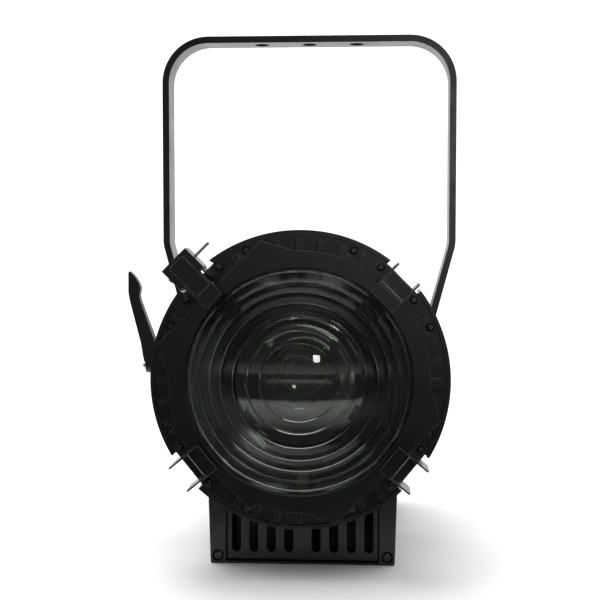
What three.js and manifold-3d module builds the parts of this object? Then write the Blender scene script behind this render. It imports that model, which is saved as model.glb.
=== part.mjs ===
// An eight-inch LED fresnel spotlight on a flat-bar yoke, with its accessory clips, tilt clamp,
// zoom carriage, power base and rear controls, each physical piece as its own solid.
//
// Frame: millimetres, +Z up, +X to the right seen from the front, the light shines along -Y.
// The origin lies on the base's resting face, straight below the tilt axis and the lens axis.
import * as THREE from "three";
import { mergeVertices } from "three/addons/utils/BufferGeometryUtils.js";
import Module from "manifold-3d";

const wasm = await Module();
wasm.setup();

// ---------------------------------------------------------------- driving dimensions
const GAP = 0.3; // air left between two solids that touch on the real lamp
const OVERRUN = 2; // how far a cutter runs past the face that it opens
const ROUND = 40; // sides of the large circles: the ribs then stand in the middle of a side

const LENS_RADIUS = 101.5;
const LENS_EDGE = 6; // thickness of the lens's plain edge
const LENS_ZONES = [0.115, 0.223, 0.337, 0.444, 0.567, 0.673, 0.766, 0.849, 0.933]; // of the lens's radius
const LENS_RELIEF = 4; // how far the crests stand in front of the plain edge
const LENS_CURVE = 1.48; // radius of the sphere that the zones are slices of, over the lens's radius

const RIM_Y = -170; // front edge of the front ring
const RIM_MARGIN = 29.9; // from the lens's edge to the ring's outside
const RIM_WALL = 3;
const RING_DEPTH = 42;
const RING_RECESS = 4; // the face lies this far behind the rim's edge
const RING_FACE = 4; // thickness of the recessed face
const COLLAR_WALL = 6; // the raised collar that carries the lens
const COLLAR_HEIGHT = 14.3;
const SEAT_WIDTH = 4.5; // shoulder under the lens's edge
const SEAT_THICK = 3;
const GASKET_THICK = 1.5;
const RIB_COUNT = 40;
const RIB_WIDTH = 4.3;
const RIB_INSET = 8; // from a rib's outer end to the ring's outside
const RIB_HEIGHT = 13.4;
const NOTCH_WIDTH = 37; // gap in the rim at each clip
const NOTCH_INSET = 5.5;

const PLATE_THICK = 2.6;
const PLATE_CHORD = 7; // from the lens's edge to the plate's straight sides
const PLATE_LIP = 3.5; // how much of the lens's edge the plate covers
const LONG_HALF = 65; // half lengths of the plate's long and short straight sides
const SHORT_HALF = 48.6;
const PLATE_ARC = 5; // the plate's arcs lie this far outside its straight sides

const COVER_SCREWS = 8;
const SCREW_INSET = 8.5; // from a cover screw to the ring's outside
const SCREW_SHANK_RADIUS = 2;

const CLIP_SHEET = 1.6;
const CLIP_WIDTH = 26.4;
const CLIP_REACH = 13; // length of the lip that holds an accessory frame
const CLIP_WEB = 4.6; // from the plate's straight side to the clip's web
const CLIP_FLANGE = 22; // radial length of a side flange, its ear included
const CLIP_EAR_RADIUS = 3;
const FRAME_SLOT = 11.4; // room for an accessory frame between plate and lip
const CLIP_FOOT = 12; // length of a screw tab
const CLIP_TAB = 5; // radius of its round end
const CLIP_PANEL = 12; // radial length of the clip's back panel
const CLIP_ANGLES = { clip_upper_right: 45, clip_lower_right: -39, clip_lower_left: -141 };
const LATCH_ANGLE = 135;

const LATCH_PIN_RADIUS = 1.5;
const LATCH_PIN_OUT = 8.5; // the pin's distance outside the ring
const LATCH_PIN_Y = -186;
const LATCH_PIN_SHORT = 17; // the pin's two ends, measured from the latch's middle
const LATCH_PIN_LONG = 31;
const LATCH_WIDTH = 28.5;
const LATCH_TONGUE = 19; // width of the narrow inner part
const LATCH_TAIL = 10; // the latch's end, outside its pin
const LATCH_FLANGE = 22; // depth of the latch's side flanges
const LATCH_FLANGE_IN = 14; // how far they run inwards from the pin
const BRACKET_EAR_RADIUS = 5;
const BRACKET_EAR = 1.5; // thickness of the ears that hold the pin
const BRACKET_WIDTH = 23.6;

const SHELL_HALF = 101.7; // half width and half height of the main housing
const SHELL_CORNER = 46;
const CORNER_STEPS = 3; // half the number of sides round each corner
const SHELL_WALL = 3;
const SHELL_BACK_Y = 118;
const TILT_DROP = 6.5; // the tilt axis lies this far below the lens axis
const BOSS_RADIUS = 21;
const BOSS_OUT = 7; // how far a pivot boss stands out of the housing
const MID_PLATE = 3;
const LIGHT_OPENING = 88; // radius of the hole in the middle plate
const REAR_DEPTH = 30;
const REAR_WALL = 3;
const VENT_COUNT = 9;
const VENT_PITCH = 11;
const VENT_WIDTH = 5;
const VENT_HALF = 62;
const VENT_LIFT = 22; // the vents' middle, above the lens axis

const BASE_HEIGHT = 72.9;
const BASE_BOTTOM_HALF = 84.6;
const BASE_DRAFT = 2.2; // the base is this much wider on each side at its top
const BASE_SETBACK = 1; // from the ring's rear edge to the base's front
const BASE_BACK_Y = 122;
const BASE_WALL = 2.5;
const POST_WIDTH = 14.5;
const POST_DEPTH = 12;
const GRILLE_RECESS = 3;
const GRILLE_THICK = 2.5;
const GRILLE_SLOTS = 4; // on each side of the middle
const GRILLE_PITCH = 16.1;
const GRILLE_FIRST = 12.6;
const GRILLE_SLOT = 7.8;
const GRILLE_SLOT_FOOT = 8.3; // bridge under the slots
const GRILLE_SLOT_TOP = 5;
const BASE_SCREW_UP = 7.3;
const BASE_SCREW_HEAD = 4.6;

const YOKE_BAR = 32; // width of the flat bar
const YOKE_THICK = 6.6;
const YOKE_CLEARANCE = 8; // between the ring's outside and the straight arms
const YOKE_RISE = 330.1; // from the tilt axis to the top of the yoke
const YOKE_CORNER = 45.5;
const YOKE_SLANT_LOW = 18; // heights between which the arms lean outwards
const YOKE_SLANT_HIGH = 124;
const YOKE_HOLE_RADIUS = 7.2;
const YOKE_HOLE_PITCH = 47.5;
const PIVOT_HOLE_CLEARANCE = 0.6;

const STUD_RADIUS = 5;
const STUD_HEAD_RADIUS = 9;
const STUD_HEAD = 5;
const WASHER_RADIUS = 17;
const WASHER_THICK = 1.6;
const NUT_FLATS = 17;
const NUT_HEIGHT = 10;

const LEVER_HUB = 47.3;
const LEVER_INSET = 1.5; // the arm's outer side lies this far inside the hub's end
const LEVER_HUB_RADIUS = 9;
const LEVER_HUB_NOSE = 7.4; // radius of the hub's outer end
const LEVER_RISE = 96.5; // from the clamp's axis to the lever's tip
const LEVER_WIDTH = 15;
const LEVER_BORE = 6.4;
const INSERT_RADIUS = 6;
const INSERT_LENGTH = 30.3;
const BUTTON_SCREW_RADIUS = 4.2;
const BUTTON_SCREW_PROUD = 3.4;
const BUTTON_SCREW_LENGTH = 9;
const SPRING_TURNS = 3;
const SPRING_WIRE = 0.5;

const ZOOM_REST_Y = -110; // the carriage plate's front face, run right up to the lens
const CARRIAGE_THICK = 4;
const CARRIAGE_HALF = 60;
const ROD_X = 76;
const ROD_Z = 40;
const ROD_RADIUS = 4;
const RUNNING = 0.5; // radial clearance of what turns or slides
const LEAD_SCREW_Z = -78;
const LEAD_SCREW_RADIUS = 4;
const ZOOM_NUT_RADIUS = 9;
const ZOOM_NUT_LENGTH = 18;
const SINK_HALF = 54;
const SINK_DEPTH = 44;
const SINK_BASE = 8;
const SINK_FINS = 11;
const SINK_FIN = 3;
const FAN_HALF = 59.5;
const FAN_DEPTH = 25;
const FAN_BORE = 56;
const FAN_BLADES = 7;
const FAN_HUB_RADIUS = 20;
const FAN_SPOKE = 3; // depth and half width of the spokes that carry the rotor
const LED_HALF = 19;
const LED_THICK = 2.4;
const CONDENSER_DEPTH = 44; // from the light source to the bezel's front
const CONDENSER_THROAT = 15;
const CONDENSER_RADIUS = 50; // the condenser lens's edge
const CONDENSER_DOME = 14; // how far its dome stands back into the cup
const CONDENSER_FLANGE = 6.4;
const BEZEL_THICK = 2;
const BEZEL_OVERLAP = 4.5; // how far the bezel reaches over the condenser lens's edge
const BEZEL_OUT = 54;
const BEZEL_NOTCHES = [218, 328]; // degrees
const BEZEL_NOTCH_WIDTH = 13.6;
const BEZEL_NOTCH_DEPTH = 4.4;
const KNOB_RADIUS = 16;
const KNOB_LENGTH = 18;

const CONNECTOR_RADIUS = 12;
const CONNECTOR_PROUD = 7;
const CONNECTOR_FLANGE = 26; // width and height of a connector's square flange
const CONNECTOR_X = [-60, -30, 30, 60];
const CONNECTOR_Z = 34;
const DISPLAY_WIDTH = 46;
const DISPLAY_HEIGHT = 20;
const DISPLAY_X = -52;
const CONTROL_Z = -74; // height of the display and buttons, from the lens axis
const BUTTON_X = [36, 50, 64, 78];
const BUTTON_RADIUS = 4.5;
const BUTTON_PROUD = 3;
const EYE_RADIUS = 12; // safety-bond eye
const EYE_WIRE = 3;
const EYE_SIDES = 8;

// ---------------------------------------------------------------- values worked out from them
const RING_RADIUS = LENS_RADIUS + RIM_MARGIN;
const FACE_Y = RIM_Y + RING_RECESS;
const COLLAR_Y = FACE_Y - COLLAR_HEIGHT;
const PLATE_BACK_Y = COLLAR_Y - GAP;
const PLATE_FRONT_Y = PLATE_BACK_Y - PLATE_THICK;
const LENS_FRONT_Y = COLLAR_Y + GAP;
const LENS_BACK_Y = LENS_FRONT_Y + LENS_EDGE;
const GASKET_Y = LENS_BACK_Y + GAP;
const SEAT_Y = GASKET_Y + GASKET_THICK + GAP;
const RING_BACK_Y = RIM_Y + RING_DEPTH;
const CHORD = LENS_RADIUS + PLATE_CHORD;
const WEB_R = CHORD + CLIP_WEB; // outer face of a clip's web
const SHEET_BACK_Y = FACE_Y - GAP;
const LIP_BACK_Y = PLATE_FRONT_Y - FRAME_SLOT;
const LIP_FRONT_Y = LIP_BACK_Y - CLIP_SHEET;
const PIN_R = RING_RADIUS + LATCH_PIN_OUT;
const SCREW_R = RING_RADIUS - SCREW_INSET;
const CLIP_SCREW_R = RING_RADIUS - 11.5;
const CLIP_SCREW_T = CLIP_WIDTH / 2 + CLIP_FOOT - CLIP_TAB;

const BASE_FRONT_Y = RING_BACK_Y + BASE_SETBACK;
const SHELL_FRONT_Y = RING_BACK_Y + GAP;
const REAR_FRONT_Y = SHELL_BACK_Y + GAP;
const REAR_BACK_Y = REAR_FRONT_Y + REAR_DEPTH;
const AXIS_Z = BASE_HEIGHT + GAP + SHELL_HALF;
const BOSS_X = SHELL_HALF + BOSS_OUT;
const YOKE_PIVOT_IN = BOSS_X + WASHER_THICK + 2 * GAP;
const YOKE_PIVOT_OUT = YOKE_PIVOT_IN + YOKE_THICK;
const YOKE_ARM_OUT = RING_RADIUS + YOKE_CLEARANCE + YOKE_THICK;
const CLAMP_X = YOKE_PIVOT_OUT + GAP; // where the clamp's washer begins
const LEVER_X = CLAMP_X + WASHER_THICK + GAP;
const SINK_Y = ZOOM_REST_Y + CARRIAGE_THICK + GAP;
const FAN_Y = SINK_Y + SINK_DEPTH + GAP;

// ---------------------------------------------------------------- shape helpers
const deg = THREE.MathUtils.degToRad;

// A closed manifold solid of a three.js geometry, turned right side out.
function solid(geometry) {
  const bare = new THREE.BufferGeometry();
  const flat = geometry.index ? geometry.toNonIndexed() : geometry;
  bare.setAttribute("position", flat.getAttribute("position").clone());
  const merged = mergeVertices(bare, 1e-4);
  const corners = Array.from(merged.index.array);
  const triangles = [];
  for (let i = 0; i < corners.length; i += 3) {
    const [a, b, c] = corners.slice(i, i + 3);
    if (a !== b && b !== c && a !== c) triangles.push(a, b, c);
  }
  const build = (list) =>
    new wasm.Manifold(
      new wasm.Mesh({
        numProp: 3,
        vertProperties: new Float32Array(merged.attributes.position.array),
        triVerts: new Uint32Array(list),
      }),
    );
  const made = build(triangles);
  return made.volume() < 0 ? build(triangles.reverse()) : made;
}

// A manifold solid back as a three.js geometry.
function geometryOf(manifold) {
  const mesh = manifold.getMesh();
  const points = new Float32Array(mesh.numVert * 3);
  for (let i = 0; i < mesh.numVert; i++)
    points.set(mesh.vertProperties.subarray(i * mesh.numProp, i * mesh.numProp + 3), i * 3);
  const geometry = new THREE.BufferGeometry();
  geometry.setAttribute("position", new THREE.BufferAttribute(points, 3));
  geometry.setIndex(new THREE.BufferAttribute(mesh.triVerts, 1));
  const shown = geometry.toNonIndexed();
  shown.computeVertexNormals();
  return shown;
}

const join = (...pieces) => pieces.reduce((a, b) => a.add(b));
const cut = (body, ...tools) => tools.reduce((a, b) => a.subtract(b), body);

// A box between two corners.
function block(x0, x1, y0, y1, z0, z1) {
  const box = new THREE.BoxGeometry(x1 - x0, y1 - y0, z1 - z0);
  box.translate((x0 + x1) / 2, (y0 + y1) / 2, (z0 + z1) / 2);
  return solid(box);
}

// A cylinder along Y between y0 and y1, with its axis at x, z.
function rodY(radius, y0, y1, x = 0, z = 0, sides = 24) {
  const rod = new THREE.CylinderGeometry(radius, radius, y1 - y0, sides);
  rod.translate(x, (y0 + y1) / 2, z);
  return solid(rod);
}

// A cone or cylinder along the X axis between x0 and x1.
function rodX(r0, r1, x0, x1, sides = 32) {
  const rod = new THREE.CylinderGeometry(r1, r0, x1 - x0, sides);
  rod.rotateZ(-Math.PI / 2);
  rod.translate((x0 + x1) / 2, 0, 0);
  return solid(rod);
}

// A profile of [radius, y] corners turned about the Y axis.
function turned(profile, sides = ROUND) {
  const points = profile.map(([r, y]) => new THREE.Vector2(r, y));
  points.push(points[0].clone());
  return solid(new THREE.LatheGeometry(points, sides, Math.PI / sides));
}

// A disc about the Y axis whose sides lie parallel to those of the turned pieces.
function disc(radius, y0, y1, sides = ROUND) {
  const made = new THREE.CylinderGeometry(radius, radius, y1 - y0, sides, 1, false, Math.PI / sides);
  return solid(made.translate(0, (y0 + y1) / 2, 0));
}

// An outline in X and Z carried along Y from y0 to y1.
function slab(shape, y0, y1, curveSegments = 12) {
  const made = new THREE.ExtrudeGeometry(shape, { depth: y1 - y0, bevelEnabled: false, curveSegments });
  made.rotateX(Math.PI / 2); // the shape's Y becomes Z, and its depth runs towards -Y
  made.translate(0, y1, 0);
  return solid(made);
}

function polygon(points) {
  return new THREE.Shape(points.map(([x, z]) => new THREE.Vector2(x, z)));
}

// A rectangle with round corners, about the origin.
function roundedRectangle(halfWidth, halfHeight, radius) {
  const shape = new THREE.Shape();
  const w = halfWidth - radius;
  const h = halfHeight - radius;
  shape.absarc(w, h, radius, 0, Math.PI / 2);
  shape.absarc(-w, h, radius, Math.PI / 2, Math.PI);
  shape.absarc(-w, -h, radius, Math.PI, Math.PI * 1.5);
  shape.absarc(w, -h, radius, Math.PI * 1.5, Math.PI * 2);
  shape.closePath();
  return shape;
}

// Moves a solid drawn at angle 0 (radius along +X, tangent along +Z) round the lens axis.
const around = (made, angle) => made.rotate([0, -angle, 0]);

// ---------------------------------------------------------------- materials and scene graph
const finish = (color, roughness, metalness) =>
  new THREE.MeshStandardMaterial({ color, roughness, metalness });
const MATERIALS = {
  black_paint: finish(0x1b1b1c, 0.5, 0.2),
  black_sheet: finish(0x191919, 0.4, 0.3),
  black_plastic: finish(0x161617, 0.45, 0),
  dark_paint: finish(0x202021, 0.6, 0.2),
  bright_steel: finish(0xb9b9b6, 0.3, 1),
  black_screw: finish(0x101010, 0.4, 0.8),
  lens_glass: finish(0xe6ebea, 0.05, 0),
  rubber: finish(0x0d0d0d, 0.8, 0),
  aluminium: finish(0xa9abad, 0.35, 1),
  led_board: finish(0xe9e7dd, 0.5, 0),
  brass: finish(0xb08d4a, 0.35, 1),
  circuit_board: finish(0x1d4a2d, 0.5, 0),
  display_glass: finish(0x0a1420, 0.1, 0),
};

const lamp = new THREE.Group();
const head = new THREE.Group(); // everything measured from the lens axis
head.position.set(0, 0, AXIS_Z);
lamp.add(head);
const pivot = new THREE.Group(); // everything measured from the tilt axis
pivot.position.set(0, 0, AXIS_Z - TILT_DROP);
lamp.add(pivot);

function piece(name, made, material, group = head) {
  const mesh = new THREE.Mesh(geometryOf(made), MATERIALS[material]);
  mesh.name = name;
  group.add(mesh);
}

// ---------------------------------------------------------------- front ring, lens and plate
const allClipAngles = [...Object.values(CLIP_ANGLES), LATCH_ANGLE];

// The smallest angle between two directions, in degrees.
const apart = (a, b) => Math.abs(((a - b + 540) % 360) - 180);

function coverScrewAngles() {
  return Array.from({ length: COVER_SCREWS }, (_, i) => ((i + 0.5) * 360) / COVER_SCREWS);
}

// A screw hole through the ring's face, drawn at angle 0.
const screwHole = (radius, tangent = 0) =>
  rodY(SCREW_SHANK_RADIUS + GAP, FACE_Y - OVERRUN, FACE_Y + RING_FACE + OVERRUN, radius, tangent, 8);

function frontRing() {
  const back = FACE_Y + RING_FACE;
  const wallIn = RING_RADIUS - RIM_WALL;
  const collarIn = LENS_RADIUS + GAP;
  const collarOut = collarIn + COLLAR_WALL;
  const seatIn = LENS_RADIUS - SEAT_WIDTH;
  let ring = turned([
    [seatIn, SEAT_Y],
    [collarIn, SEAT_Y],
    [collarIn, COLLAR_Y],
    [collarOut, COLLAR_Y],
    [collarOut, FACE_Y],
    [wallIn, FACE_Y],
    [wallIn, RIM_Y],
    [RING_RADIUS, RIM_Y],
    [RING_RADIUS, RING_BACK_Y],
    [wallIn, RING_BACK_Y],
    [wallIn, back],
    [collarOut, back],
    [seatIn, SEAT_Y + SEAT_THICK],
  ]);
  const step = 360 / RIB_COUNT;
  const clear = THREE.MathUtils.radToDeg(Math.asin((CLIP_SCREW_T + 6) / SCREW_R));
  for (let i = 0; i < RIB_COUNT; i++) {
    if (allClipAngles.some((angle) => apart(angle, i * step) < clear)) continue;
    const outer = RING_RADIUS - RIB_INSET;
    const rib = block(collarOut - 1, outer, FACE_Y - RIB_HEIGHT, FACE_Y + 1, -RIB_WIDTH / 2, RIB_WIDTH / 2);
    ring = ring.add(around(rib, i * step));
  }
  const notchFloor = RING_RADIUS - NOTCH_INSET;
  for (const angle of allClipAngles) {
    const half = NOTCH_WIDTH / 2;
    const gap = block(notchFloor, RING_RADIUS + 9, RIM_Y - OVERRUN, RING_BACK_Y + OVERRUN, -half, half);
    const wall = block(notchFloor - RIM_WALL, notchFloor, FACE_Y, RING_BACK_Y, -half - 3, half + 3);
    ring = ring.subtract(around(gap, angle)).add(around(wall, angle));
    for (const side of [-1, 1])
      ring = ring.subtract(around(screwHole(CLIP_SCREW_R, side * CLIP_SCREW_T), angle));
  }
  for (const angle of coverScrewAngles()) ring = ring.subtract(around(screwHole(SCREW_R), angle));
  return ring;
}

// The plate's outline: two long and two short straight sides, with a shallow arc between
// each pair and a straight run from the arc to each long side's corner.
function plateOutline() {
  const shape = new THREE.Shape();
  const arc = CHORD + PLATE_ARC;
  const longTurn = Math.atan2(LONG_HALF, CHORD);
  const shortTurn = Math.atan2(SHORT_HALF, CHORD);
  const longR = Math.hypot(LONG_HALF, CHORD);
  const shortR = Math.hypot(SHORT_HALF, CHORD);
  const at = (radius, angle) => [radius * Math.cos(angle), radius * Math.sin(angle)];
  const quarter = Math.PI / 4;
  const arcStart = deg(1.5); // the arcs begin just past the axes
  const arcEnd = quarter - shortTurn - deg(1.5);
  shape.moveTo(...at(shortR, quarter - shortTurn));
  shape.lineTo(...at(shortR, quarter + shortTurn));
  shape.absarc(0, 0, arc, Math.PI / 2 - arcEnd, Math.PI / 2 + arcStart, false);
  shape.lineTo(...at(longR, 3 * quarter - longTurn));
  shape.lineTo(...at(longR, 3 * quarter + longTurn));
  shape.absarc(0, 0, arc, Math.PI - arcStart, Math.PI + arcEnd, false);
  shape.lineTo(...at(shortR, 5 * quarter - shortTurn));
  shape.lineTo(...at(shortR, 5 * quarter + shortTurn));
  shape.absarc(0, 0, arc, 1.5 * Math.PI - arcEnd, 1.5 * Math.PI + arcStart, false);
  shape.lineTo(...at(longR, 7 * quarter - longTurn));
  shape.lineTo(...at(longR, 7 * quarter + longTurn));
  shape.absarc(0, 0, arc, 2 * Math.PI - arcStart, 2 * Math.PI + arcEnd, false);
  shape.closePath();
  return shape;
}

function lensPlate() {
  const made = slab(plateOutline(), PLATE_FRONT_Y, PLATE_BACK_Y, 4);
  const through = [PLATE_FRONT_Y - OVERRUN, PLATE_BACK_Y + OVERRUN];
  // its corners stop short of the rim, whatever the straight sides' lengths
  const limit = disc(RING_RADIUS - RIM_WALL - 2 * GAP, ...through);
  return cut(made.intersect(limit), disc(LENS_RADIUS - PLATE_LIP, ...through));
}

// A stepped lens: each zone slopes as the sphere does there, and falls back at the next step.
function fresnelLens() {
  const crest = LENS_FRONT_Y - LENS_RELIEF;
  const sphere = LENS_CURVE * LENS_RADIUS;
  const drop = (r) => sphere - Math.sqrt(sphere ** 2 - r ** 2);
  const profile = [[0, crest]];
  let start = 0;
  for (const share of LENS_ZONES) {
    const end = share * LENS_RADIUS;
    profile.push([end, crest + drop(end) - drop(start)]);
    profile.push([end + 0.25, crest]);
    start = end + 0.25;
  }
  const window = LENS_RADIUS - PLATE_LIP - 0.6;
  profile.push([window, crest + drop(window) - drop(start)]);
  profile.push([window, LENS_FRONT_Y], [LENS_RADIUS, LENS_FRONT_Y]);
  profile.push([LENS_RADIUS, LENS_BACK_Y], [0, LENS_BACK_Y]);
  return turned(profile);
}

function frontAssembly() {
  piece("front_ring", frontRing(), "black_paint");
  piece("lens_plate", lensPlate(), "black_paint");
  piece("fresnel_lens", fresnelLens(), "lens_glass");
  const gasketIn = LENS_RADIUS - SEAT_WIDTH + 0.5;
  const gasket = turned([
    [gasketIn, GASKET_Y],
    [LENS_RADIUS, GASKET_Y],
    [LENS_RADIUS, GASKET_Y + GASKET_THICK],
    [gasketIn, GASKET_Y + GASKET_THICK],
  ]);
  piece("lens_gasket", gasket, "rubber");
}

// ---------------------------------------------------------------- accessory clips and latch
// A plate across the tangent, from radius r0 to r1 and from y0 to y1.
const across = (r0, r1, y0, y1, half) => block(r0, r1, y0, y1, -half, half);

// Two screw tabs with round ends that lie on the ring's face, joined by the back panel.
function clipFoot(panelEnd, webIn) {
  const sheet = [SHEET_BACK_Y - CLIP_SHEET, SHEET_BACK_Y];
  const tab = (side) => rodY(CLIP_TAB, ...sheet, CLIP_SCREW_R, side * CLIP_SCREW_T, 12);
  const bar = across(CLIP_SCREW_R - CLIP_TAB + 0.1, CLIP_SCREW_R + CLIP_TAB - 0.1, ...sheet, CLIP_SCREW_T);
  const panel = across(webIn, panelEnd, ...sheet, CLIP_WIDTH / 2);
  const foot = join(tab(1), tab(-1), bar, panel);
  const through = [SHEET_BACK_Y - CLIP_SHEET - OVERRUN, SHEET_BACK_Y + OVERRUN];
  const hole = (side) => rodY(SCREW_SHANK_RADIUS + GAP, ...through, CLIP_SCREW_R, side * CLIP_SCREW_T, 8);
  return cut(foot, hole(1), hole(-1));
}

// A Z-shaped clip: lip in front, web behind its edge, panel on the ring, and a flange on
// each side that runs on past the ring as a round-ended ear.
function fixedClip() {
  const half = CLIP_WIDTH / 2;
  const webIn = WEB_R - CLIP_SHEET;
  const lip = across(WEB_R - CLIP_REACH, WEB_R, LIP_FRONT_Y, LIP_BACK_Y, half);
  const web = across(webIn, WEB_R, LIP_FRONT_Y, SHEET_BACK_Y, half);
  const end = webIn + CLIP_FLANGE;
  const flange = new THREE.Shape();
  const r = CLIP_EAR_RADIUS;
  flange.moveTo(webIn, LIP_FRONT_Y);
  flange.absarc(end - r, LIP_FRONT_Y + r, r, -Math.PI / 2, 0, false);
  flange.absarc(end - r, SHEET_BACK_Y - r, r, 0, Math.PI / 2, false);
  flange.lineTo(webIn, SHEET_BACK_Y);
  flange.closePath();
  const sheet = new THREE.ExtrudeGeometry(flange, { depth: CLIP_SHEET, bevelEnabled: false, curveSegments: 2 });
  const upper = solid(sheet.clone().translate(0, 0, half - CLIP_SHEET));
  const lower = solid(sheet.clone().translate(0, 0, -half));
  return join(lip, web, clipFoot(webIn + CLIP_PANEL, webIn), upper, lower);
}

// The fixed part of the latch: a foot with two ears that hold the hinge pin.
function latchBracket() {
  const half = BRACKET_WIDTH / 2;
  const webIn = WEB_R - CLIP_SHEET;
  const front = LATCH_PIN_Y - BRACKET_EAR_RADIUS;
  const ear = new THREE.Shape();
  ear.moveTo(webIn + 6, SHEET_BACK_Y);
  ear.lineTo(webIn + 6, front + 6);
  ear.lineTo(webIn + 12, front);
  ear.absarc(PIN_R, LATCH_PIN_Y, BRACKET_EAR_RADIUS, -Math.PI / 2, Math.PI / 4, false);
  ear.lineTo(webIn + CLIP_PANEL + 4, SHEET_BACK_Y);
  ear.closePath();
  const pin = new THREE.Path();
  pin.absarc(PIN_R, LATCH_PIN_Y, LATCH_PIN_RADIUS + GAP, 0, Math.PI * 2, true);
  ear.holes.push(pin);
  const sheet = new THREE.ExtrudeGeometry(ear, { depth: BRACKET_EAR, bevelEnabled: false, curveSegments: 4 });
  const upper = solid(sheet.clone().translate(0, 0, half - BRACKET_EAR));
  const lower = solid(sheet.clone().translate(0, 0, -half));
  return join(clipFoot(webIn + CLIP_PANEL, webIn), upper, lower);
}

// The swinging part: a long lip with a web that stops the frame, and a wider tail whose
// flanges run on the pin.
function latchArm() {
  const plateFront = LIP_FRONT_Y - 0.8;
  const plateBack = plateFront + CLIP_SHEET;
  const wide = LATCH_WIDTH / 2;
  const narrow = LATCH_TONGUE / 2;
  const tailEnd = PIN_R + LATCH_TAIL;
  const wideStart = PIN_R - LATCH_FLANGE_IN;
  const tongue = across(WEB_R - CLIP_REACH, wideStart + 1, plateFront, plateBack, narrow);
  const tail = across(wideStart, tailEnd, plateFront, plateBack, wide);
  const web = across(WEB_R - CLIP_SHEET, WEB_R, plateFront, PLATE_FRONT_Y - 1.5, narrow);
  const boss = across(WEB_R, tailEnd - 3, plateFront - 1.2, plateFront + 0.5, narrow - 1.5);
  const flange = (side) => {
    const z = side > 0 ? wide - BRACKET_EAR : -wide;
    return block(wideStart, tailEnd, plateFront, plateFront + LATCH_FLANGE, z, z + BRACKET_EAR);
  };
  const hole = solid(
    new THREE.CylinderGeometry(LATCH_PIN_RADIUS + GAP, LATCH_PIN_RADIUS + GAP, LATCH_WIDTH + 4, 12)
      .rotateX(Math.PI / 2)
      .translate(PIN_R, LATCH_PIN_Y, 0),
  );
  return cut(join(tongue, tail, web, boss, flange(1), flange(-1)), hole);
}

function latchPin() {
  const length = LATCH_PIN_SHORT + LATCH_PIN_LONG;
  const pin = new THREE.CylinderGeometry(LATCH_PIN_RADIUS, LATCH_PIN_RADIUS, length, 14);
  pin.rotateX(Math.PI / 2);
  pin.translate(PIN_R, LATCH_PIN_Y, LATCH_PIN_SHORT - length / 2);
  const headSize = LATCH_PIN_RADIUS + 1.2;
  const cap = new THREE.CylinderGeometry(headSize, headSize, 2, 14).rotateX(Math.PI / 2);
  cap.translate(PIN_R, LATCH_PIN_Y, LATCH_PIN_SHORT - 1);
  return join(solid(pin), solid(cap));
}

function clips() {
  for (const [name, angle] of Object.entries(CLIP_ANGLES)) piece(name, around(fixedClip(), angle), "black_sheet");
  piece("latch_bracket", around(latchBracket(), LATCH_ANGLE), "black_sheet");
  piece("latch_arm", around(latchArm(), LATCH_ANGLE), "black_sheet");
  piece("latch_pin", around(latchPin(), LATCH_ANGLE), "bright_steel");
}

// ---------------------------------------------------------------- housing
function bodyShell() {
  const outline = roundedRectangle(SHELL_HALF, SHELL_HALF, SHELL_CORNER);
  const inside = SHELL_HALF - SHELL_WALL;
  const hollow = roundedRectangle(inside, inside, SHELL_CORNER - SHELL_WALL);
  const tube = cut(
    slab(outline, SHELL_FRONT_Y, SHELL_BACK_Y, CORNER_STEPS),
    slab(hollow, SHELL_FRONT_Y - OVERRUN, SHELL_BACK_Y + OVERRUN, CORNER_STEPS),
  );
  const drop = [0, 0, -TILT_DROP];
  const boss = (x0, x1) => rodX(BOSS_RADIUS, BOSS_RADIUS, x0, x1).translate(drop);
  const bore = rodX(STUD_RADIUS + GAP, STUD_RADIUS + GAP, -BOSS_X - OVERRUN, BOSS_X + OVERRUN, 16);
  return cut(join(tube, boss(inside + 1, BOSS_X), boss(-BOSS_X, -inside - 1)), bore.translate(drop));
}

function middlePlate() {
  const plate = disc(RING_RADIUS - RIM_WALL - GAP, RING_BACK_Y - MID_PLATE, RING_BACK_Y);
  const light = disc(LIGHT_OPENING, RING_BACK_Y - MID_PLATE - OVERRUN, RING_BACK_Y + OVERRUN);
  const floor = RING_RADIUS - NOTCH_INSET - RIM_WALL - GAP; // flat where the ring's notch walls are
  const flats = allClipAngles.map((angle) =>
    around(block(floor, RING_RADIUS + 5, RING_BACK_Y - MID_PLATE - OVERRUN, RING_BACK_Y + OVERRUN, -30, 30), angle),
  );
  return cut(plate, light, ...flats);
}

function rearCover() {
  const outline = roundedRectangle(SHELL_HALF, SHELL_HALF, SHELL_CORNER);
  const inside = SHELL_HALF - REAR_WALL;
  const hollow = roundedRectangle(inside, inside, SHELL_CORNER - REAR_WALL);
  const tools = [slab(hollow, REAR_FRONT_Y - OVERRUN, REAR_BACK_Y - REAR_WALL, CORNER_STEPS)];
  for (let i = 0; i < VENT_COUNT; i++) {
    const z = VENT_LIFT + (i - (VENT_COUNT - 1) / 2) * VENT_PITCH;
    tools.push(
      block(-VENT_HALF, VENT_HALF, REAR_BACK_Y - REAR_WALL - OVERRUN, REAR_BACK_Y + OVERRUN, z - VENT_WIDTH / 2, z + VENT_WIDTH / 2),
    );
  }
  const through = [REAR_BACK_Y - REAR_WALL - OVERRUN, REAR_BACK_Y + OVERRUN];
  tools.push(rodY(LEAD_SCREW_RADIUS + RUNNING, ...through, 0, LEAD_SCREW_Z, 16));
  const left = DISPLAY_X - DISPLAY_WIDTH / 2 - GAP;
  const low = CONTROL_Z - DISPLAY_HEIGHT / 2 - GAP;
  tools.push(block(left, -left + 2 * DISPLAY_X, ...through, low, -low + 2 * CONTROL_Z));
  for (const x of BUTTON_X) tools.push(rodY(BUTTON_RADIUS + RUNNING, ...through, x, CONTROL_Z, 16));
  return cut(slab(outline, REAR_FRONT_Y, REAR_BACK_Y, CORNER_STEPS), ...tools);
}

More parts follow.
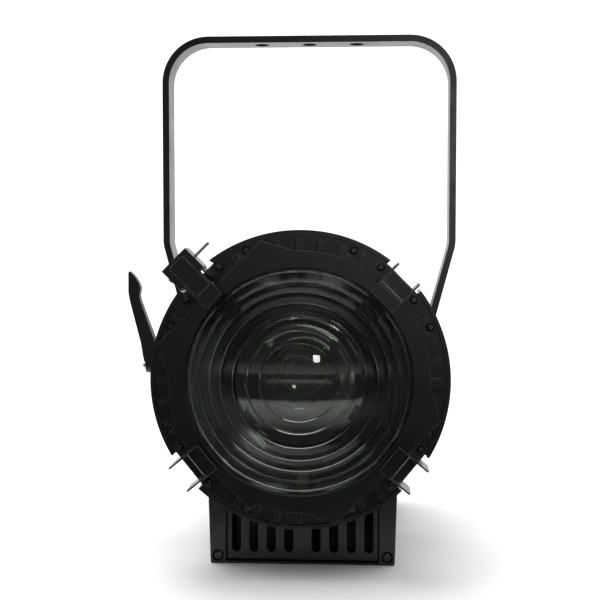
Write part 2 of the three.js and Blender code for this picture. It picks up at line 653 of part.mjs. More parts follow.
// A closed ring of round bar that stands on a small foot behind the cover.
function safetyEye() {
  const y = REAR_BACK_Y + GAP + EYE_RADIUS + EYE_WIRE;
  const ring = new THREE.TorusGeometry(EYE_RADIUS, EYE_WIRE, EYE_SIDES, 18);
  ring.rotateY(Math.PI / 2);
  ring.translate(0, y, SHELL_HALF - 12);
  const z = SHELL_HALF - 12;
  const foot = block(-9, 9, REAR_BACK_Y + GAP, REAR_BACK_Y + EYE_WIRE, z - 11, z + 8);
  return join(solid(ring), foot);
}

function housing() {
  piece("body_shell", bodyShell(), "black_paint");
  piece("middle_plate", middlePlate(), "dark_paint");
  piece("rear_cover", rearCover(), "black_paint");
  piece("safety_eye", safetyEye(), "bright_steel");
  const displayBack = REAR_BACK_Y + 1;
  const halfWidth = DISPLAY_WIDTH / 2;
  const halfHeight = DISPLAY_HEIGHT / 2;
  const screen = block(
    DISPLAY_X - halfWidth,
    DISPLAY_X + halfWidth,
    REAR_BACK_Y - 9,
    displayBack,
    CONTROL_Z - halfHeight,
    CONTROL_Z + halfHeight,
  );
  piece("display_module", screen, "display_glass");
  BUTTON_X.forEach((x, i) => {
    const button = rodY(BUTTON_RADIUS, REAR_BACK_Y - REAR_WALL - 1, REAR_BACK_Y + BUTTON_PROUD, x, CONTROL_Z, 18);
    piece(`menu_button_${i + 1}`, button, "rubber");
  });
}

// ---------------------------------------------------------------- base
// Half the base's width at a height.
const baseHalf = (z) => BASE_BOTTOM_HALF + (BASE_DRAFT * z) / BASE_HEIGHT;
const POST_IN = BASE_BOTTOM_HALF - POST_WIDTH; // inner side of the corner posts
const BASE_SCREW_X = BASE_BOTTOM_HALF - 7;

function baseBox() {
  const profile = (inset, z0, z1) =>
    polygon([
      [-baseHalf(z0) + inset, z0],
      [baseHalf(z0) - inset, z0],
      [baseHalf(z1) - inset, z1],
      [-baseHalf(z1) + inset, z1],
    ]);
  const outside = slab(profile(0, 0, BASE_HEIGHT), BASE_FRONT_Y, BASE_BACK_Y);
  const room = block(
    -POST_IN,
    POST_IN,
    BASE_FRONT_Y - OVERRUN,
    BASE_BACK_Y + OVERRUN,
    BASE_WALL,
    BASE_HEIGHT + OVERRUN,
  );
  const wide = slab(
    profile(BASE_WALL, BASE_WALL, BASE_HEIGHT + OVERRUN),
    BASE_FRONT_Y + POST_DEPTH,
    BASE_BACK_Y - POST_DEPTH,
  );
  const tools = [room, wide];
  for (const side of [-1, 1]) {
    const x = side * BASE_SCREW_X;
    tools.push(rodY(BASE_SCREW_HEAD + 0.4, BASE_FRONT_Y - OVERRUN, BASE_FRONT_Y + 2.4, x, BASE_SCREW_UP, 18));
    tools.push(rodY(SCREW_SHANK_RADIUS + GAP, BASE_FRONT_Y, BASE_FRONT_Y + 9, x, BASE_SCREW_UP, 10));
  }
  return cut(outside, ...tools);
}

function baseGrille() {
  const y = BASE_FRONT_Y + GRILLE_RECESS;
  const sheet = block(-POST_IN + GAP, POST_IN - GAP, y, y + GRILLE_THICK, BASE_WALL + GAP, BASE_HEIGHT - 3);
  const tools = [];
  for (let i = 0; i < GRILLE_SLOTS; i++)
    for (const side of [-1, 1]) {
      const x = side * (GRILLE_FIRST + i * GRILLE_PITCH);
      const low = BASE_WALL + GRILLE_SLOT_FOOT;
      const high = BASE_HEIGHT - 3 - GRILLE_SLOT_TOP;
      const slot = roundedRectangle(GRILLE_SLOT / 2, (high - low) / 2, 2.4);
      tools.push(slab(slot, y - OVERRUN, y + GRILLE_THICK + OVERRUN, 1).translate([x, 0, (high + low) / 2]));
    }
  return cut(sheet, ...tools);
}

function baseRearPanel() {
  const y = BASE_BACK_Y - 3;
  const sheet = block(-POST_IN + GAP, POST_IN - GAP, y - BASE_WALL, y, BASE_WALL + GAP, BASE_HEIGHT - 3);
  const holes = CONNECTOR_X.map((x) =>
    rodY(CONNECTOR_RADIUS - 1, y - BASE_WALL - OVERRUN, BASE_BACK_Y, x * CONNECTOR_SPREAD, CONNECTOR_Z, 18),
  );
  return cut(sheet, ...holes);
}
const CONNECTOR_SPREAD = (POST_IN - CONNECTOR_FLANGE / 2 - 1) / Math.max(...CONNECTOR_X);

// A panel connector: square flange, round nose behind the panel and a round socket in front.
function connector(x) {
  const face = BASE_BACK_Y - 3;
  const half = CONNECTOR_FLANGE / 2 - 1;
  const flange = block(x - half, x + half, face + GAP, face + GAP + 2, CONNECTOR_Z - half, CONNECTOR_Z + half);
  const nose = rodY(CONNECTOR_RADIUS, face + 1, face + CONNECTOR_PROUD, x, CONNECTOR_Z, 18);
  const barrel = rodY(CONNECTOR_RADIUS - 1.5, face - 18, face + 1, x, CONNECTOR_Z, 18);
  const socket = rodY(CONNECTOR_RADIUS - 3, face - 8, face + CONNECTOR_PROUD + OVERRUN, x, CONNECTOR_Z, 18);
  return cut(join(flange, nose, barrel), socket);
}

function base() {
  piece("base_box", baseBox(), "black_paint", lamp);
  piece("base_grille", baseGrille(), "dark_paint", lamp);
  piece("base_rear_panel", baseRearPanel(), "black_paint", lamp);
  const lidInset = BASE_WALL + GAP;
  const lidTop = BASE_HEIGHT;
  const lid = block(
    -baseHalf(lidTop - 2.4) + lidInset,
    baseHalf(lidTop - 2.4) - lidInset,
    BASE_FRONT_Y + POST_DEPTH + GAP,
    BASE_BACK_Y - POST_DEPTH - GAP,
    lidTop - 2.4,
    lidTop,
  );
  piece("base_lid", lid, "black_paint", lamp);
  const names = { base_screw_left: -1, base_screw_right: 1 };
  for (const [name, side] of Object.entries(names)) {
    const y = BASE_FRONT_Y + 0.1;
    const x = side * BASE_SCREW_X;
    const head = rodY(BASE_SCREW_HEAD, y, y + 2, x, BASE_SCREW_UP, 18);
    const shank = rodY(SCREW_SHANK_RADIUS, y + 1, y + 8, x, BASE_SCREW_UP, 10);
    piece(name, join(head, shank), "black_screw", lamp);
  }
  const sockets = ["power_inlet", "power_outlet", "data_inlet", "data_outlet"];
  sockets.forEach((name, i) => piece(name, connector(CONNECTOR_X[i] * CONNECTOR_SPREAD), "black_plastic", lamp));
  const floor = BASE_WALL + 1;
  piece("power_supply", block(-62, 0, -105, 70, floor, BASE_HEIGHT - 8), "aluminium", lamp);
  piece("driver_board", block(8, 62, -100, 60, floor + 5, floor + 6.8), "circuit_board", lamp);
}

// ---------------------------------------------------------------- yoke and its pivots
// The arm's middle line, from the pivot's end up to the middle of the top bar.
function yokeOutline() {
  const slant = Math.atan2(YOKE_ARM_OUT - YOKE_PIVOT_OUT, YOKE_SLANT_HIGH - YOKE_SLANT_LOW);
  const shift = YOKE_THICK * Math.tan(slant / 2); // keeps the bar's thickness through the bends
  const low = -YOKE_BAR / 2;
  const top = YOKE_RISE;
  const outer = new THREE.Shape();
  const corner = YOKE_CORNER;
  outer.moveTo(YOKE_PIVOT_OUT, low);
  outer.lineTo(YOKE_PIVOT_OUT, YOKE_SLANT_LOW);
  outer.lineTo(YOKE_ARM_OUT, YOKE_SLANT_HIGH);
  outer.absarc(YOKE_ARM_OUT - corner, top - corner, corner, 0, Math.PI / 2, false);
  outer.absarc(-YOKE_ARM_OUT + corner, top - corner, corner, Math.PI / 2, Math.PI, false);
  outer.lineTo(-YOKE_ARM_OUT, YOKE_SLANT_HIGH);
  outer.lineTo(-YOKE_PIVOT_OUT, YOKE_SLANT_LOW);
  outer.lineTo(-YOKE_PIVOT_OUT, low);
  outer.lineTo(-YOKE_PIVOT_IN, low);
  outer.lineTo(-YOKE_PIVOT_IN, YOKE_SLANT_LOW + shift);
  outer.lineTo(-YOKE_ARM_OUT + YOKE_THICK, YOKE_SLANT_HIGH + shift);
  const inner = corner - YOKE_THICK;
  outer.absarc(-YOKE_ARM_OUT + corner, top - corner, inner, Math.PI, Math.PI / 2, true);
  outer.absarc(YOKE_ARM_OUT - corner, top - corner, inner, Math.PI / 2, 0, true);
  outer.lineTo(YOKE_ARM_OUT - YOKE_THICK, YOKE_SLANT_HIGH + shift);
  outer.lineTo(YOKE_PIVOT_IN, YOKE_SLANT_LOW + shift);
  outer.lineTo(YOKE_PIVOT_IN, low);
  outer.closePath();
  return outer;
}

function yoke() {
  const half = YOKE_BAR / 2;
  const bar = slab(yokeOutline(), -half, half, 6);
  const wide = YOKE_ARM_OUT + OVERRUN;
  const keep = join(
    block(-wide, wide, -half - 1, half + 1, 0, YOKE_RISE + OVERRUN),
    rodX(half, half, -wide, wide, 24),
  );
  const bore = STUD_RADIUS + PIVOT_HOLE_CLEARANCE;
  const tools = [rodX(bore, bore, -wide, wide, 16)];
  for (const step of [-1, 0, 1]) {
    const hole = new THREE.CylinderGeometry(YOKE_HOLE_RADIUS, YOKE_HOLE_RADIUS, YOKE_THICK + 2 * OVERRUN, 16);
    hole.rotateX(Math.PI / 2);
    hole.translate(step * YOKE_HOLE_PITCH, 0, YOKE_RISE - YOKE_THICK / 2);
    tools.push(solid(hole));
  }
  return cut(bar.intersect(keep), ...tools);
}

// A washer on the tilt axis between x0 and x1, on either side.
function washer(side, x0) {
  const from = side > 0 ? x0 : -x0 - WASHER_THICK;
  const bore = STUD_RADIUS + PIVOT_HOLE_CLEARANCE;
  return cut(
    rodX(WASHER_RADIUS, WASHER_RADIUS, from, from + WASHER_THICK, 20),
    rodX(bore, bore, from - 1, from + WASHER_THICK + 1, 12),
  );
}

// A stud with its head inside the housing, out to a distance from the middle.
function stud(side, reach) {
  const inside = SHELL_HALF - SHELL_WALL - GAP - 0.3;
  const shank = side > 0 ? [inside - 1, reach] : [-reach, -inside + 1];
  const head = side > 0 ? [inside - STUD_HEAD, inside] : [-inside, -inside + STUD_HEAD];
  return join(
    rodX(STUD_HEAD_RADIUS, STUD_HEAD_RADIUS, ...head, 6),
    rodX(STUD_RADIUS, STUD_RADIUS, ...shank, 16),
  );
}

function pivots() {
  piece("yoke", yoke(), "black_paint", pivot);
  piece("friction_washer_left", washer(-1, BOSS_X + GAP), "rubber", pivot);
  piece("friction_washer_right", washer(1, BOSS_X + GAP), "rubber", pivot);
  piece("clamp_washer_left", washer(-1, CLAMP_X), "bright_steel", pivot);
  piece("clamp_washer_right", washer(1, CLAMP_X), "bright_steel", pivot);
  piece("pivot_stud_left", stud(-1, LEVER_X + INSERT_LENGTH - 8), "bright_steel", pivot);
  piece("pivot_stud_right", stud(1, LEVER_X + NUT_HEIGHT + 2), "bright_steel", pivot);
  const flat = NUT_FLATS / 2 / Math.cos(Math.PI / 6);
  const nut = cut(
    rodX(flat, flat, LEVER_X, LEVER_X + NUT_HEIGHT, 6),
    rodX(STUD_RADIUS + 0.1, STUD_RADIUS + 0.1, LEVER_X - 1, LEVER_X + NUT_HEIGHT + 1, 16),
  );
  piece("pivot_nut_right", nut, "black_screw", pivot);
}

// ---------------------------------------------------------------- clamp lever
// The lever's side outline, as [distance from the middle, height above the clamp's axis].
function leverOutline() {
  const root = LEVER_X + LEVER_HUB - LEVER_INSET;
  const lean = 0.27; // how far the arm leans outwards for each unit of height
  const edge = (x, h) => [-(x + lean * h), h];
  const tip = LEVER_RISE;
  return polygon([
    edge(root, 2),
    edge(root + 0.4, tip * 0.72),
    edge(root - 5.6, tip * 0.88),
    edge(root - 8.4, tip),
    edge(root - 15, tip * 0.9),
    edge(root - 17, tip * 0.81),
    edge(root - 14.4, tip * 0.78),
    edge(root - 19.5, tip * 0.1),
    edge(root - 26, 2),
  ].map(([x, h]) => [x, h]));
}

function clampLever() {
  const outer = LEVER_X + LEVER_HUB;
  const hub = join(
    rodX(LEVER_HUB_RADIUS, LEVER_HUB_RADIUS + 1.5, -outer + 14, -LEVER_X - GAP, 24),
    rodX(LEVER_HUB_NOSE, LEVER_HUB_RADIUS, -outer, -outer + 14.01, 24),
  );
  const arm = slab(leverOutline(), -LEVER_WIDTH / 2, LEVER_WIDTH / 2);
  const grip = rodX(INSERT_RADIUS + GAP, INSERT_RADIUS + GAP, -LEVER_X - INSERT_LENGTH - GAP, -LEVER_X + OVERRUN, 20);
  const shank = rodX(3.3, 3.3, -outer, -LEVER_X - INSERT_LENGTH + 1, 14);
  const mouth = rodX(LEVER_BORE, LEVER_BORE, -outer - OVERRUN - 30, -outer + 10, 20);
  return cut(join(hub, arm), grip, shank, mouth);
}

// The threaded steel insert that the lever drives, bored for the stud.
function clampInsert() {
  const start = -LEVER_X - GAP;
  const body = rodX(INSERT_RADIUS, INSERT_RADIUS, start - INSERT_LENGTH + GAP, start, 12);
  const thread = rodX(STUD_RADIUS + 0.1, STUD_RADIUS + 0.1, start - INSERT_LENGTH + 8 - GAP, start + 1, 16);
  return cut(body, thread);
}

// The screw that holds the lever on the insert; its bright head shows at the hub's end.
function leverScrew() {
  const outer = LEVER_X + LEVER_HUB;
  const headEnd = outer + BUTTON_SCREW_PROUD;
  const head = rodX(BUTTON_SCREW_RADIUS - 0.6, BUTTON_SCREW_RADIUS, -headEnd, -headEnd + BUTTON_SCREW_LENGTH, 18);
  const shank = rodX(2.6, 2.6, -headEnd + 1, -LEVER_X - INSERT_LENGTH - GAP, 12);
  return join(head, shank);
}

// The coil that pushes the lever's teeth back into mesh, in the hub's mouth.
class CoilCurve extends THREE.Curve {
  constructor(radius, x0, x1, turns) {
    super();
    Object.assign(this, { radius, x0, x1, turns });
  }
  getPoint(t, target = new THREE.Vector3()) {
    const a = t * this.turns * Math.PI * 2;
    return target.set(this.x0 + (this.x1 - this.x0) * t, this.radius * Math.cos(a), this.radius * Math.sin(a));
  }
}

function clamp() {
  piece("clamp_lever", clampLever(), "black_plastic", pivot);
  piece("clamp_insert", clampInsert(), "bright_steel", pivot);
  piece("lever_screw", leverScrew(), "bright_steel", pivot);
  const outer = LEVER_X + LEVER_HUB;
  const radius = (LEVER_BORE + BUTTON_SCREW_RADIUS) / 2;
  const coil = new CoilCurve(radius, -outer + 10 - 1.2, -outer + 1.5, SPRING_TURNS);
  const wire = new THREE.Shape().absarc(0, 0, SPRING_WIRE, 0, Math.PI * 2);
  const spring = new THREE.ExtrudeGeometry(wire, {
    steps: SPRING_TURNS * 12,
    extrudePath: coil,
    curveSegments: 2,
  });
  piece("lever_spring", solid(spring), "bright_steel", pivot);
}

// ---------------------------------------------------------------- zoom carriage
function carriagePlate() {
  const back = ZOOM_REST_Y + CARRIAGE_THICK;
  const ear = ROD_RADIUS + 6;
  const plate = join(
    block(-CARRIAGE_HALF, CARRIAGE_HALF, ZOOM_REST_Y, back, -CARRIAGE_HALF, CARRIAGE_HALF),
    block(-ROD_X - ear, ROD_X + ear, ZOOM_REST_Y, back, ROD_Z - ear, ROD_Z + ear),
    block(-14, 14, ZOOM_REST_Y, back, LEAD_SCREW_Z - ZOOM_NUT_RADIUS - 3, -CARRIAGE_HALF + 1),
    rodY(ear - 1, ZOOM_REST_Y - 10, back, ROD_X, ROD_Z, 20),
    rodY(ear - 1, ZOOM_REST_Y - 10, back, -ROD_X, ROD_Z, 20),
  );
  const slide = ROD_RADIUS + RUNNING;
  const through = [ZOOM_REST_Y - 10 - OVERRUN, back + OVERRUN];
  return cut(
    plate,
    rodY(slide, ...through, ROD_X, ROD_Z, 16),
    rodY(slide, ...through, -ROD_X, ROD_Z, 16),
    rodY(ZOOM_NUT_RADIUS - 2 + GAP, ...through, 0, LEAD_SCREW_Z, 20),
  );
}

function zoomNut() {
  const y = ZOOM_REST_Y + CARRIAGE_THICK + GAP;
  const body = join(
    rodY(ZOOM_NUT_RADIUS, y, y + 4, 0, LEAD_SCREW_Z, 20),
    rodY(ZOOM_NUT_RADIUS - 2, y - ZOOM_NUT_LENGTH + 4, y + 1, 0, LEAD_SCREW_Z, 20),
  );
  return cut(body, rodY(LEAD_SCREW_RADIUS + RUNNING, y - ZOOM_NUT_LENGTH, y + 9, 0, LEAD_SCREW_Z, 16));
}

// A finned heat sink: one comb outline carried upwards.
function heatSink() {
  const pitch = (2 * SINK_HALF - SINK_FIN) / (SINK_FINS - 1);
  const points = [[-SINK_HALF, SINK_Y]];
  points.push([SINK_HALF, SINK_Y]);
  const root = SINK_Y + SINK_BASE;
  for (let i = SINK_FINS - 1; i >= 0; i--) {
    const x = -SINK_HALF + i * pitch;
    points.push([x + SINK_FIN, SINK_Y + SINK_DEPTH], [x, SINK_Y + SINK_DEPTH]);
    if (i > 0) points.push([x, root], [x - pitch + SINK_FIN, root]);
  }
  const comb = new THREE.ExtrudeGeometry(polygon(points), { depth: 2 * SINK_HALF, bevelEnabled: false });
  return solid(comb.translate(0, 0, -SINK_HALF));
}

function fanFrame() {
  const frame = slab(roundedRectangle(FAN_HALF, FAN_HALF, 7), FAN_Y, FAN_Y + FAN_DEPTH, 3);
  const bored = cut(frame, rodY(FAN_BORE, FAN_Y - OVERRUN, FAN_Y + FAN_DEPTH + OVERRUN, 0, 0, 28));
  const spoke = [FAN_Y + FAN_DEPTH - FAN_SPOKE, FAN_Y + FAN_DEPTH];
  const reach = FAN_BORE + 1;
  return join(
    bored,
    block(-reach, reach, ...spoke, -FAN_SPOKE, FAN_SPOKE),
    block(-FAN_SPOKE, FAN_SPOKE, ...spoke, -reach, reach),
    rodY(FAN_HUB_RADIUS + 1, ...spoke, 0, 0, 24),
  );
}

function fanRotor() {
  const y0 = FAN_Y + 1.5;
  const y1 = FAN_Y + FAN_DEPTH - FAN_SPOKE - 1;
  let rotor = rodY(FAN_HUB_RADIUS, y0, y1, 0, 0, 20);
  for (let i = 0; i < FAN_BLADES; i++) {
    const blade = new THREE.BoxGeometry(FAN_BORE - 2 - FAN_HUB_RADIUS + 3, 1.8, 21);
    blade.rotateX(deg(38));
    blade.translate((FAN_BORE - 2 + FAN_HUB_RADIUS - 3) / 2, (y0 + y1) / 2, 0);
    rotor = rotor.add(around(solid(blade), (i * 360) / FAN_BLADES));
  }
  return rotor.intersect(rodY(FAN_BORE - 1.5, y0, y1, 0, 0, 28));
}

const CONDENSER_FRONT_Y = ZOOM_REST_Y - LED_THICK - 2 * GAP - 0.4 - CONDENSER_DEPTH;
const CONDENSER_SEAT_Y = CONDENSER_FRONT_Y + BEZEL_THICK + GAP + CONDENSER_FLANGE + GAP;

function condenserHolder() {
  const back = CONDENSER_FRONT_Y + CONDENSER_DEPTH;
  const seat = CONDENSER_SEAT_Y;
  const pocket = CONDENSER_RADIUS + GAP;
  return turned(
    [
      [CONDENSER_THROAT, back],
      [CONDENSER_RADIUS - 3.5, seat],
      [pocket, seat],
      [pocket, CONDENSER_FRONT_Y + BEZEL_THICK + GAP],
      [BEZEL_OUT, CONDENSER_FRONT_Y + BEZEL_THICK + GAP],
      [BEZEL_OUT, seat + 2],
      [CONDENSER_RADIUS - 1.7, seat + 2],
      [CONDENSER_THROAT + 1.6, back],
    ],
    32,
  );
}

function condenserLens() {
  const back = CONDENSER_SEAT_Y - GAP;
  const front = back - CONDENSER_FLANGE;
  const dome = CONDENSER_RADIUS - BEZEL_OVERLAP - 0.5;
  const sphere = (dome ** 2 + CONDENSER_DOME ** 2) / (2 * CONDENSER_DOME);
  const steps = 5;
  const curve = Array.from({ length: steps + 1 }, (_, i) => {
    const r = dome * (1 - i / steps);
    return [r, back + CONDENSER_DOME - sphere + Math.sqrt(sphere ** 2 - r ** 2)];
  });
  return turned([[0, front], [CONDENSER_RADIUS, front], [CONDENSER_RADIUS, back], ...curve], 32);
}

function condenserBezel() {
  const front = CONDENSER_FRONT_Y;
  const inner = CONDENSER_RADIUS - BEZEL_OVERLAP;
  const back = front + BEZEL_THICK;
  const ring = turned([[inner, front], [BEZEL_OUT, front], [BEZEL_OUT, back], [inner, back]], 32);
  const notch = block(BEZEL_OUT - BEZEL_NOTCH_DEPTH, BEZEL_OUT + OVERRUN, front - OVERRUN, back + OVERRUN, -BEZEL_NOTCH_WIDTH / 2, BEZEL_NOTCH_WIDTH / 2);
  return cut(ring, ...BEZEL_NOTCHES.map((angle) => around(notch, angle)));
}

function zoom() {
  piece("carriage_plate", carriagePlate(), "aluminium");
  const ledBack = ZOOM_REST_Y - GAP;
  piece("led_module", block(-LED_HALF, LED_HALF, ledBack - LED_THICK, ledBack, -LED_HALF, LED_HALF), "led_board");
  piece("condenser_holder", condenserHolder(), "dark_paint");
  piece("condenser_lens", condenserLens(), "lens_glass");
  piece("condenser_bezel", condenserBezel(), "dark_paint");
  piece("heat_sink", heatSink(), "aluminium");
  piece("fan_frame", fanFrame(), "black_plastic");
  piece("fan_rotor", fanRotor(), "black_plastic");
  piece("zoom_nut", zoomNut(), "brass");
  const rodFrom = RING_BACK_Y + GAP;
  const rodTo = REAR_BACK_Y - REAR_WALL - GAP;
  piece("guide_rod_left", rodY(ROD_RADIUS, rodFrom, rodTo, -ROD_X, ROD_Z, 16), "bright_steel");
  piece("guide_rod_right", rodY(ROD_RADIUS, rodFrom, rodTo, ROD_X, ROD_Z, 16), "bright_steel");
  const knobStart = REAR_BACK_Y + 1;
  const leadScrew = rodY(LEAD_SCREW_RADIUS, rodFrom, knobStart + 10, 0, LEAD_SCREW_Z, 16);
  piece("lead_screw", leadScrew, "bright_steel");
  const knob = cut(
    rodY(KNOB_RADIUS, knobStart, knobStart + KNOB_LENGTH, 0, LEAD_SCREW_Z, 28),
    rodY(LEAD_SCREW_RADIUS + GAP, knobStart - OVERRUN, knobStart + 10 + GAP, 0, LEAD_SCREW_Z, 16),
  );
  piece("zoom_knob", knob, "black_plastic");
}

frontAssembly();
clips();
housing();
base();
pivots();
clamp();
zoom();

export default lamp;
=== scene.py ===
"""The looks of a black LED fresnel spotlight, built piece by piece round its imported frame.

The file is laid out as a Blender add-on and is run as a script. Shapes are drawn in millimetres in
the frame's axes: +Z up, +X to the right seen from the front, the light leaving along -Y.
"""

import math

import bmesh
import bpy
from bpy.props import FloatProperty, FloatVectorProperty, IntProperty, PointerProperty
from mathutils import Matrix, Vector


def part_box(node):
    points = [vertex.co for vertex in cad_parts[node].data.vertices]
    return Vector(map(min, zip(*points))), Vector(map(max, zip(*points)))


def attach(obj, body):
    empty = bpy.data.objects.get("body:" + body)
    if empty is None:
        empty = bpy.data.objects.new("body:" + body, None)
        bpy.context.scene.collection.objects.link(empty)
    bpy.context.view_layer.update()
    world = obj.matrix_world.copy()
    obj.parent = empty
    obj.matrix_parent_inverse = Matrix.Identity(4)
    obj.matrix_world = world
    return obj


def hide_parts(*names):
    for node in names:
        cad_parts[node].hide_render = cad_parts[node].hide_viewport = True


bl_info = {
    "name": "Fresnel spotlight",
    "version": (1, 0, 0),
    "blender": (4, 5, 0),
    "location": "View3D > Sidebar > Spotlight",
    "description": "Builds the visible pieces of a fresnel spotlight round its frame",
    "category": "Object",
}

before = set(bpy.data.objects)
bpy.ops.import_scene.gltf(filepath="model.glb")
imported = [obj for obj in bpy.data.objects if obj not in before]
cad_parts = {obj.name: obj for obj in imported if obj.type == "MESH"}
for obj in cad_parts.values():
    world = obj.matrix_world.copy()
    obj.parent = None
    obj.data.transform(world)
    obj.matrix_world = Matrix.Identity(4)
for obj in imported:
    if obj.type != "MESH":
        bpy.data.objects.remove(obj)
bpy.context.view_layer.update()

MM = 0.001


def box_mm(node):
    """Lowest and highest corner of a frame node, in millimetres."""
    low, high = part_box(node)
    return Vector(low) / MM, Vector(high) / MM


def middle(node):
    low, high = box_mm(node)
    return (low + high) / 2


# Anchors that the frame gives.
LENS_AXIS = middle("fresnel_lens").z
TILT_AXIS = middle("clamp_washer_left").z
RING_LOW, RING_HIGH = box_mm("front_ring")
PLATE_LOW, PLATE_HIGH = box_mm("lens_plate")
LENS_LOW, LENS_HIGH = box_mm("fresnel_lens")
SHELL_LOW, SHELL_HIGH = box_mm("body_shell")
REAR_LOW, REAR_HIGH = box_mm("rear_cover")
BASE_LOW, BASE_HIGH = box_mm("base_box")
YOKE_LOW, YOKE_HIGH = box_mm("yoke")

FACET = math.cos(math.pi / 40)  # a frame circle's flat sides lie this much inside its corners
RING_RADIUS = RING_HIGH.x / FACET
LENS_RADIUS = LENS_HIGH.x / FACET
RING_BACK = RING_HIGH.y
RIM_FRONT = RING_BACK - 42.0
FACE = RIM_FRONT + 4.0  # the recessed face behind the rim
CLIP_ANGLES = {"clip_upper_right": 45.0, "clip_lower_right": -39.0, "clip_lower_left": -141.0}
LATCH_ANGLE = 135.0
SHEET = 1.6
WEB = LENS_RADIUS + 11.6  # outer face of a clip's web
LIP_BACK = PLATE_LOW.y - 11.4
LIP_FRONT = LIP_BACK - SHEET
CLIP_WIDTH = 26.4
PIN_RADIUS_OUT = RING_RADIUS + 8.5  # the latch pin's distance from the lens axis
PIN_Y = -186.0


# ---------------------------------------------------------------- settings
class SpotlightSizes(bpy.types.PropertyGroup):
    """Sizes of the details that the frame leaves open."""

    edge_round: FloatProperty(
        name="Edge rounding",
        description="Radius broken on the edges of cast and machined pieces, in millimetres",
        default=0.75,
        min=0.05,
    )
    sheet_round: FloatProperty(
        name="Sheet edge rounding",
        description="Radius broken on the edges of sheet-metal pieces, in millimetres",
        default=0.45,
        min=0.02,
    )
    bend_radius: FloatProperty(
        name="Sheet bend radius",
        description="Middle radius of a bend in a clip, in millimetres",
        default=1.9,
        min=0.9,
    )
    rib_count: IntProperty(
        name="Ribs",
        description="Cooling ribs round the front ring, some of which the clips leave out",
        default=40,
        min=8,
    )
    rib_width: FloatProperty(
        name="Rib width",
        description="Width of a rib of the front ring, in millimetres",
        default=4.3,
    )
    screw_head: FloatProperty(
        name="Screw head radius",
        description="Radius of a cover screw's head, in millimetres",
        default=3.7,
    )
    knurl_count: IntProperty(
        name="Knob flutes",
        description="Grip flutes round the zoom knob",
        default=24,
        min=6,
    )


class SpotlightFinishes(bpy.types.PropertyGroup):
    """Colours and surfaces."""

    paint: FloatVectorProperty(
        name="Powder coat",
        description="Colour of the powder-coated castings and the yoke",
        subtype="COLOR",
        size=3,
        default=(0.0052, 0.0052, 0.0055),
    )
    paint_roughness: FloatProperty(
        name="Powder coat roughness",
        description="Middle roughness of the powder coat",
        default=0.31,
        subtype="FACTOR",
    )
    sheet: FloatVectorProperty(
        name="Clip paint",
        description="Colour of the painted sheet metal",
        subtype="COLOR",
        size=3,
        default=(0.0052, 0.0052, 0.0054),
    )
    plastic: FloatVectorProperty(
        name="Plastic",
        description="Colour of the lever, knobs and sockets",
        subtype="COLOR",
        size=3,
        default=(0.0058, 0.0058, 0.0062),
    )
    steel: FloatVectorProperty(
        name="Steel",
        description="Colour of the bright pins, washers and screws",
        subtype="COLOR",
        size=3,
        default=(0.60, 0.60, 0.585),
    )
    # the default is the phosphor's yellow darkened to brown: painted shade for the dark inside of the lamp
    phosphor: FloatVectorProperty(
        name="LED phosphor",
        description="Colour of the light source's phosphor disc",
        subtype="COLOR",
        size=3,
        default=(0.085, 0.07, 0.026),
    )
    key_light: FloatProperty(
        name="Key light",
        description="Power of the large overhead soft light, in watts",
        default=32.0,
        unit="POWER",
    )
    backdrop: FloatProperty(
        name="Backdrop light",
        description="Strength of the pale surroundings behind the lamp",
        default=1.3,
    )
    room: FloatProperty(
        name="Room light",
        description="Share of the backdrop's strength that comes from the room in front",
        default=0.04,
        subtype="FACTOR",
    )
    wall: FloatProperty(
        name="Wall light",
        description="Strength of the pale wall in front of the lamp, seen only in reflections",
        default=0.7,
    )


def sizes():
    return bpy.context.scene.spotlight_sizes


def finishes():
    return bpy.context.scene.spotlight_finishes


# ---------------------------------------------------------------- meshes in millimetres
def turned(profile, steps=160):
    """A closed outline of (radius, y) corners turned about the Y axis."""
    mesh = bmesh.new()
    rings = []
    for radius, y in profile:
        if radius < 1e-6:
            rings.append([mesh.verts.new((0, y, 0))] * steps)
            continue
        turns = [2 * math.pi * (i + 0.5) / steps for i in range(steps)]
        rings.append([mesh.verts.new((radius * math.cos(a), y, radius * math.sin(a))) for a in turns])
    for first, second in zip(rings, rings[1:] + rings[:1]):
        for i in range(steps):
            j = (i + 1) % steps
            corners = []
            for vert in (first[i], first[j], second[j], second[i]):
                if vert not in corners:
                    corners.append(vert)
            if len(corners) > 2:
                mesh.faces.new(corners)
    bmesh.ops.recalc_face_normals(mesh, faces=mesh.faces[:])
    return mesh


def extruded(outline, low, high, axis="Y"):
    """A closed outline carried along an axis. An XZ outline runs along Y, a YZ one along X,
    and an XY one along Z."""
    place = {
        "Y": lambda p, d: (p[0], d, p[1]),
        "X": lambda p, d: (d, p[0], p[1]),
        "Z": lambda p, d: (p[0], p[1], d),
    }[axis]
    mesh = bmesh.new()
    near = [mesh.verts.new(place(p, low)) for p in outline]
    far = [mesh.verts.new(place(p, high)) for p in outline]
    mesh.faces.new(near)
    mesh.faces.new(list(reversed(far)))
    for i in range(len(outline)):
        j = (i + 1) % len(outline)
        mesh.faces.new((near[i], far[i], far[j], near[j]))
    bmesh.ops.recalc_face_normals(mesh, faces=mesh.faces[:])
    return mesh


def block(x0, x1, y0, y1, z0, z1):
    return extruded([(x0, z0), (x1, z0), (x1, z1), (x0, z1)], y0, y1)


def rod(start, end, radius, end_radius=None, steps=48):
    """A cylinder or cone between two points."""
    start, end = Vector(start), Vector(end)
    mesh = bmesh.new()
    bmesh.ops.create_cone(
        mesh,
        cap_ends=True,
        segments=steps,
        radius1=radius,
        radius2=radius if end_radius is None else end_radius,
        depth=(end - start).length,
    )
    turn = (end - start).to_track_quat("Z", "Y").to_matrix().to_4x4()
    mesh.transform(Matrix.Translation((start + end) / 2) @ turn)
    return mesh


def moved(mesh, offset):
    mesh.transform(Matrix.Translation(Vector(offset)))
    return mesh


